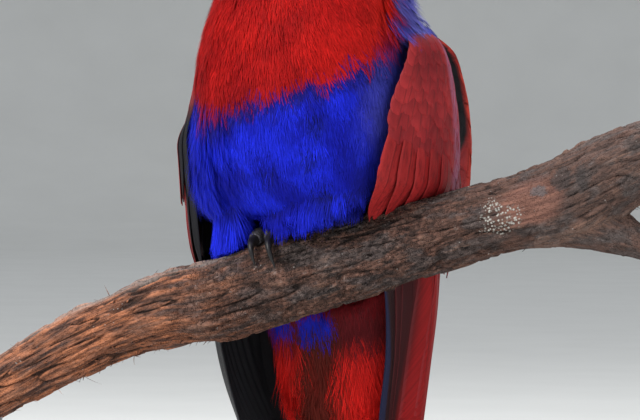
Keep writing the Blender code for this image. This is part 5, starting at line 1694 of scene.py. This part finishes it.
for side, word in ((LEFT, "left"), (RIGHT, "right")):
    foot_x = FEET_X[side]
    parts_of_foot = []
    for toe, (near_x, far_x, last, claw_last) in TOES.items():
        near_x, far_x = near_x * side, far_x * side
        if toe.startswith("front"):
            last, claw_last = last + FRONT_SHORT[side], claw_last + FRONT_SHORT[side]
        line = toe_line(foot_x, (near_x, far_x), FOOT_ANGLE, last, lambda share: 3.95 - 0.8 * share, TOE_ROWS)
        toe_length = float(np.sum(np.linalg.norm(np.diff(line, axis=0), axis=1)))
        parts_of_foot.append(tube_of(line, TOE_SIDES, toe_radius(toe_length)))
        turn = 1 if claw_last > last else -1
        line = toe_line(foot_x, (far_x, far_x * 1.12), last - turn * 2.0, claw_last, claw_height, 30)
        claw = tube_of(line, 20, lambda on, around: (2.0 * (1 - on) ** 0.8 + 0.12) * (
            1 + 0.10 * np.cos(2 * around)))
        settle(claw, UPRIGHT)
        claw.name = "claw_horn_" + word + "_" + toe
        claw.data.materials.append(claw_horn.material)
        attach(claw, "root")
        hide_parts("claw_" + word + "_" + toe)
    pad = branch_point(np.array([foot_x]), np.radians([FOOT_ANGLE]), np.array([4.6]))[0]
    knee = np.array([foot_x * 1.15, 22.0, pad[2] + SHANK_RISE])
    shank_line = np.linspace(pad - (knee - pad) * 0.10, knee, 50)
    parts_of_foot.append(tube_of(shank_line, 32, lambda on, around: (
        4.1 + 3.4 * smoothstep(0.25, 0.75, on)
        + 0.2 * np.abs(np.sin(on * 60.0)) * smoothstep(0.6, 0.2, on)) * np.sqrt(
            np.clip(1 - ((0.16 - on) / 0.17) ** 2 * (on < 0.16), 0.05, 1.0))))
    foot = joined("foot_skin_" + word, parts_of_foot)
    settle(foot, UPRIGHT)
    foot.data.materials.append(foot_skin.material)
    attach(foot, "root")
    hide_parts("foot_" + word, "leg_" + word)


# The bill is black horn, a deep hooked upper half over a short scoop. It grows in fine layers and is worn paler at its
# tip. Its nostrils are pits pressed into the top of the upper half near its root.
# Each half is a closed roll drawn along the solid's own curved middle line.

HEAD_TURN = 10.0                    # the neck's turn to the bird's left, degrees
NECK_PIVOT = np.array([0.0, -20.0, 0.0])
UPPER_BILL = [  # middle y and z, half height, half width, mm
    (-50.0, 169.5, 10.5, 9.0),
    (-58.0, 171.0, 11.0, 9.4),
    (-66.0, 169.0, 10.3, 8.7),
    (-72.5, 163.5, 8.6, 7.2),
    (-76.0, 156.0, 6.2, 5.4),
    (-77.0, 149.0, 3.9, 3.5),
    (-76.0, 143.0, 1.7, 1.6),
    (-74.8, 139.5, 0.45, 0.45),
]
LOWER_BILL = [
    (-52.0, 159.0, 8.0, 8.6),
    (-58.5, 156.3, 8.0, 8.2),
    (-64.5, 154.8, 7.2, 7.2),
    (-68.6, 155.6, 5.2, 5.6),
    (-70.8, 157.6, 2.4, 3.2),
]
NOSTRIL_AT, NOSTRIL_SIZE = (4.6, -58.0, 181.2), 1.7
EYE_LOOK = {"left": (0.93, -0.34, 0.05), "right": (-0.93, -0.34, 0.05)}    # before the neck's turn


def turned_head(points):
    """Points of the bird with the neck's turn, which grows from the breast to the head."""
    points = np.asarray(points, float)
    turn = np.radians(HEAD_TURN) * smoothstep(100.0, 150.0, points[..., 2])
    off = points - NECK_PIVOT
    return NECK_PIVOT + np.stack([
        off[..., 0] * np.cos(turn) - off[..., 1] * np.sin(turn),
        off[..., 0] * np.sin(turn) + off[..., 1] * np.cos(turn),
        off[..., 2]], -1)


def bill_half(name, table, rows, sides, shape):
    """A half of the bill. shape(on, around) gives a factor on its section."""
    made, on, around, reach = roll(name, rows, sides)
    place_on = on * (len(table) - 1)
    row = spline(table, place_on)
    ahead, behind = spline(table, place_on + 0.05), spline(table, place_on - 0.05)
    along = ahead[:, :2] - behind[:, :2]
    along /= np.linalg.norm(along, axis=1, keepdims=True)
    up = np.stack([-along[:, 1], along[:, 0]], 1)
    up *= np.sign(up[:, 1:2] + 1e-9) if name == "lower" else 1.0
    flip = -1.0 if up[np.argmin(on)][1] < 0 else 1.0
    factor = shape(on, around) * reach
    height, width = row[:, 2] * factor, row[:, 3] * factor
    rise = np.sin(around) * height * flip
    points = np.stack([np.cos(around) * width, row[:, 0] + up[:, 0] * rise, row[:, 1] + up[:, 1] * rise], 1)
    for side in (LEFT, RIGHT):
        pit = np.linalg.norm(points - np.array([side * NOSTRIL_AT[0], *NOSTRIL_AT[1:]]), axis=1)
        inward = np.array([-side * 0.5, 0.5, -0.7])
        points += inward * (1.5 * np.exp(-(pit / (NOSTRIL_SIZE * 0.62)) ** 2))[:, None]
        points -= inward * (0.35 * np.exp(-((pit - NOSTRIL_SIZE) / 0.5) ** 2))[:, None]
    set_points(made.data, turned_head(points))
    set_mark(made.data, "on", np.stack([on, np.cos(around), np.sin(around) * flip], 1))
    settle(made, BIRD)
    return made


def upper_shape(on, around):
    """Fine growth layers, a keeled ridge along the top and a flat below where the lower half closes."""
    layers = 0.006 * np.sin(on * 150.0 + 1.5 * np.sin(around * 2.0))
    ridge = 0.035 * np.exp(-((around - math.pi / 2) / 0.30) ** 2)
    notch = -0.05 * np.exp(-((on - 0.52) / 0.035) ** 2) * smoothstep(0.0, -0.6, np.sin(around))
    return 1.0 + layers + ridge + notch


def lower_shape(on, around):
    layers = 0.007 * np.sin(on * 95.0 + np.sin(around * 2.0))
    return 0.985 + layers


bill_horn = Finish("bill_horn", specular_ior_level=0.5, coat_weight=0.25, coat_roughness=0.25)
bill_at = bill_horn.place()
bill_on, _, bill_up = bill_horn.parts(bill_horn.marked("on"))
bill_grain = bill_horn.grain(bill_horn.stretched(bill_at, 260.0, 900.0, 260.0), 1.0, 4.0, 0.6)
bill_flake = bill_horn.grain(bill_at, 330.0, 4.0, 0.65)
bill_colour = bill_horn.mix(bill_grain.rise(0.35, 0.75), (0.010, 0.0095, 0.010), (0.034, 0.031, 0.031))
bill_colour = bill_horn.mix(bill_flake.rise(0.58, 0.75) * 0.5, bill_colour, (0.095, 0.085, 0.080))
bill_colour = bill_horn.mix(bill_on.rise(0.86, 1.0) * 0.5, bill_colour, (0.085, 0.070, 0.060))
bill_horn.lift(bill_grain * 0.6 + bill_flake * 0.5, 0.00022, 0.7)
bill_horn.feed(Base_Color=bill_colour, Roughness=0.30 + bill_flake * 0.26)
for name, table, rows, sides, shape in (("upper", UPPER_BILL, 150, 80, upper_shape),
                                        ("lower", LOWER_BILL, 80, 72, lower_shape)):
    half = bill_half(name, table, rows, sides, shape)
    half.name = "bill_horn_" + name
    half.data.materials.append(bill_horn.material)
    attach(half, "root")
    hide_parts("bill_" + name)


# Each eye is a wet ball with a cream iris, a round black pupil and a clear bulge over them.
# It sits in a ring of bare bluish skin in fine beads, the lids, which open as round as in a calm bird.

IRIS_SHARE, PUPIL_SHARE = 0.80, 0.40      # sine of the angle from the eye's axis where each ends
LID_RINGS = ((5.35, 0.80), (4.75, 0.72))  # radius of each ring of beads, and how thick it is, mm
LID_AHEAD = 4.35                          # from the eye's middle to the outer ring, along its axis
eye_wet = Finish("wet_eye", roughness=0.06, specular_ior_level=0.6, coat_weight=0.8, coat_roughness=0.02)
from_axis, around_axis, _ = eye_wet.parts(eye_wet.marked("eye"))
iris_grain = eye_wet.node("TexNoise", {"noise_dimensions": "2D"}, Vector=eye_wet.node(
    "CombineXYZ", X=around_axis * 7.0, Y=from_axis * 2.5, Z=0.0), Scale=3.0, Detail=4.0)
iris_colour = eye_wet.mix(iris_grain.rise(0.3, 0.7), (0.560, 0.430, 0.190), (0.780, 0.680, 0.400))
iris_colour = eye_wet.mix(from_axis.rise(0.72, 0.80), iris_colour, (0.120, 0.080, 0.040))
iris_colour = eye_wet.mix(from_axis.rise(0.44, 0.40), iris_colour, (0.004, 0.004, 0.005))
eye_wet.feed(Base_Color=eye_wet.mix(from_axis.rise(0.80, 0.84), iris_colour, (0.020, 0.014, 0.014)))

lid_skin = Finish("lid_skin", specular_ior_level=0.35)
lid_at = lid_skin.place()
lid_beads = lid_skin.cells(lid_at, 1500.0, "DISTANCE_TO_EDGE").rise(0.02, 0.20)
lid_colour = lid_skin.mix(lid_beads, (0.018, 0.024, 0.060), (0.085, 0.120, 0.300))
lid_skin.lift(lid_beads, 0.00015, 0.7)
lid_skin.feed(Base_Color=lid_colour, Roughness=0.5 + lid_beads * 0.1)

for word in ("left", "right"):
    low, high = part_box("eye_" + word)
    middle, radius = (low + high) / 2, (high.z - low.z) / 2
    ahead = turned_head(np.array([0.0, -20.0, 170.0]) + 10.0 * np.array(EYE_LOOK[word])) \
        - turned_head(np.array([0.0, -20.0, 170.0]))
    ahead = (BIRD.to_3x3() @ Vector(ahead)).normalized()
    start_fresh()
    bpy.ops.mesh.primitive_uv_sphere_add(segments=64, ring_count=48, radius=radius, location=(0, 0, 0))
    eye = bpy.context.object
    eye.name = "eye_wet_" + word
    spots = points_of(eye.data)
    off_axis = np.hypot(spots[:, 0], spots[:, 1]) / radius
    turn = np.arctan2(spots[:, 1], spots[:, 0])
    front = spots[:, 2] > 0
    bulge = 1.0 + 0.045 * np.maximum(0.0, 1 - (off_axis / 0.75) ** 2) * front
    marks = np.stack([np.where(front, off_axis, 1.0), turn, turn * 0], 1)
    facing = ahead.to_track_quat("Z", "Y").to_matrix()
    set_points(eye.data, spots * (bulge * 0.985)[:, None] @ np.array(facing).T + np.array(middle))
    set_mark(eye.data, "eye", marks)
    bpy.ops.object.shade_smooth()
    eye.data.materials.append(eye_wet.material)
    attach(eye, "root")
    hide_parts("eye_" + word)

    rings_made = []
    for step, (ring_radius, thick) in enumerate(LID_RINGS):
        start_fresh()
        bpy.ops.mesh.primitive_torus_add(
            major_radius=ring_radius, minor_radius=thick, major_segments=140, minor_segments=16)
        ring = bpy.context.object
        spots = points_of(ring.data)
        turn = np.arctan2(spots[:, 1], spots[:, 0])
        radial = np.hypot(spots[:, 0], spots[:, 1])
        middle_line = np.stack([np.cos(turn) * ring_radius, np.sin(turn) * ring_radius, turn * 0], 1)
        beads = 1.0 + 0.20 * np.abs(np.sin(turn * (17 + 4 * step)))
        spots = middle_line + (spots - middle_line) * beads[:, None]
        spots *= np.array([1.0, 0.93, 1.0])
        spots[:, 2] += LID_AHEAD - 2.0 + 0.9 * step - 0.35 * np.cos(2 * turn)
        set_points(ring.data, spots * MM @ np.array(facing).T + np.array(middle))
        rings_made.append(ring)
    lids = joined("lid_ring_" + word, rings_made)
    bpy.ops.object.shade_smooth()
    lids.data.materials.append(lid_skin.material)
    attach(lids, "root")
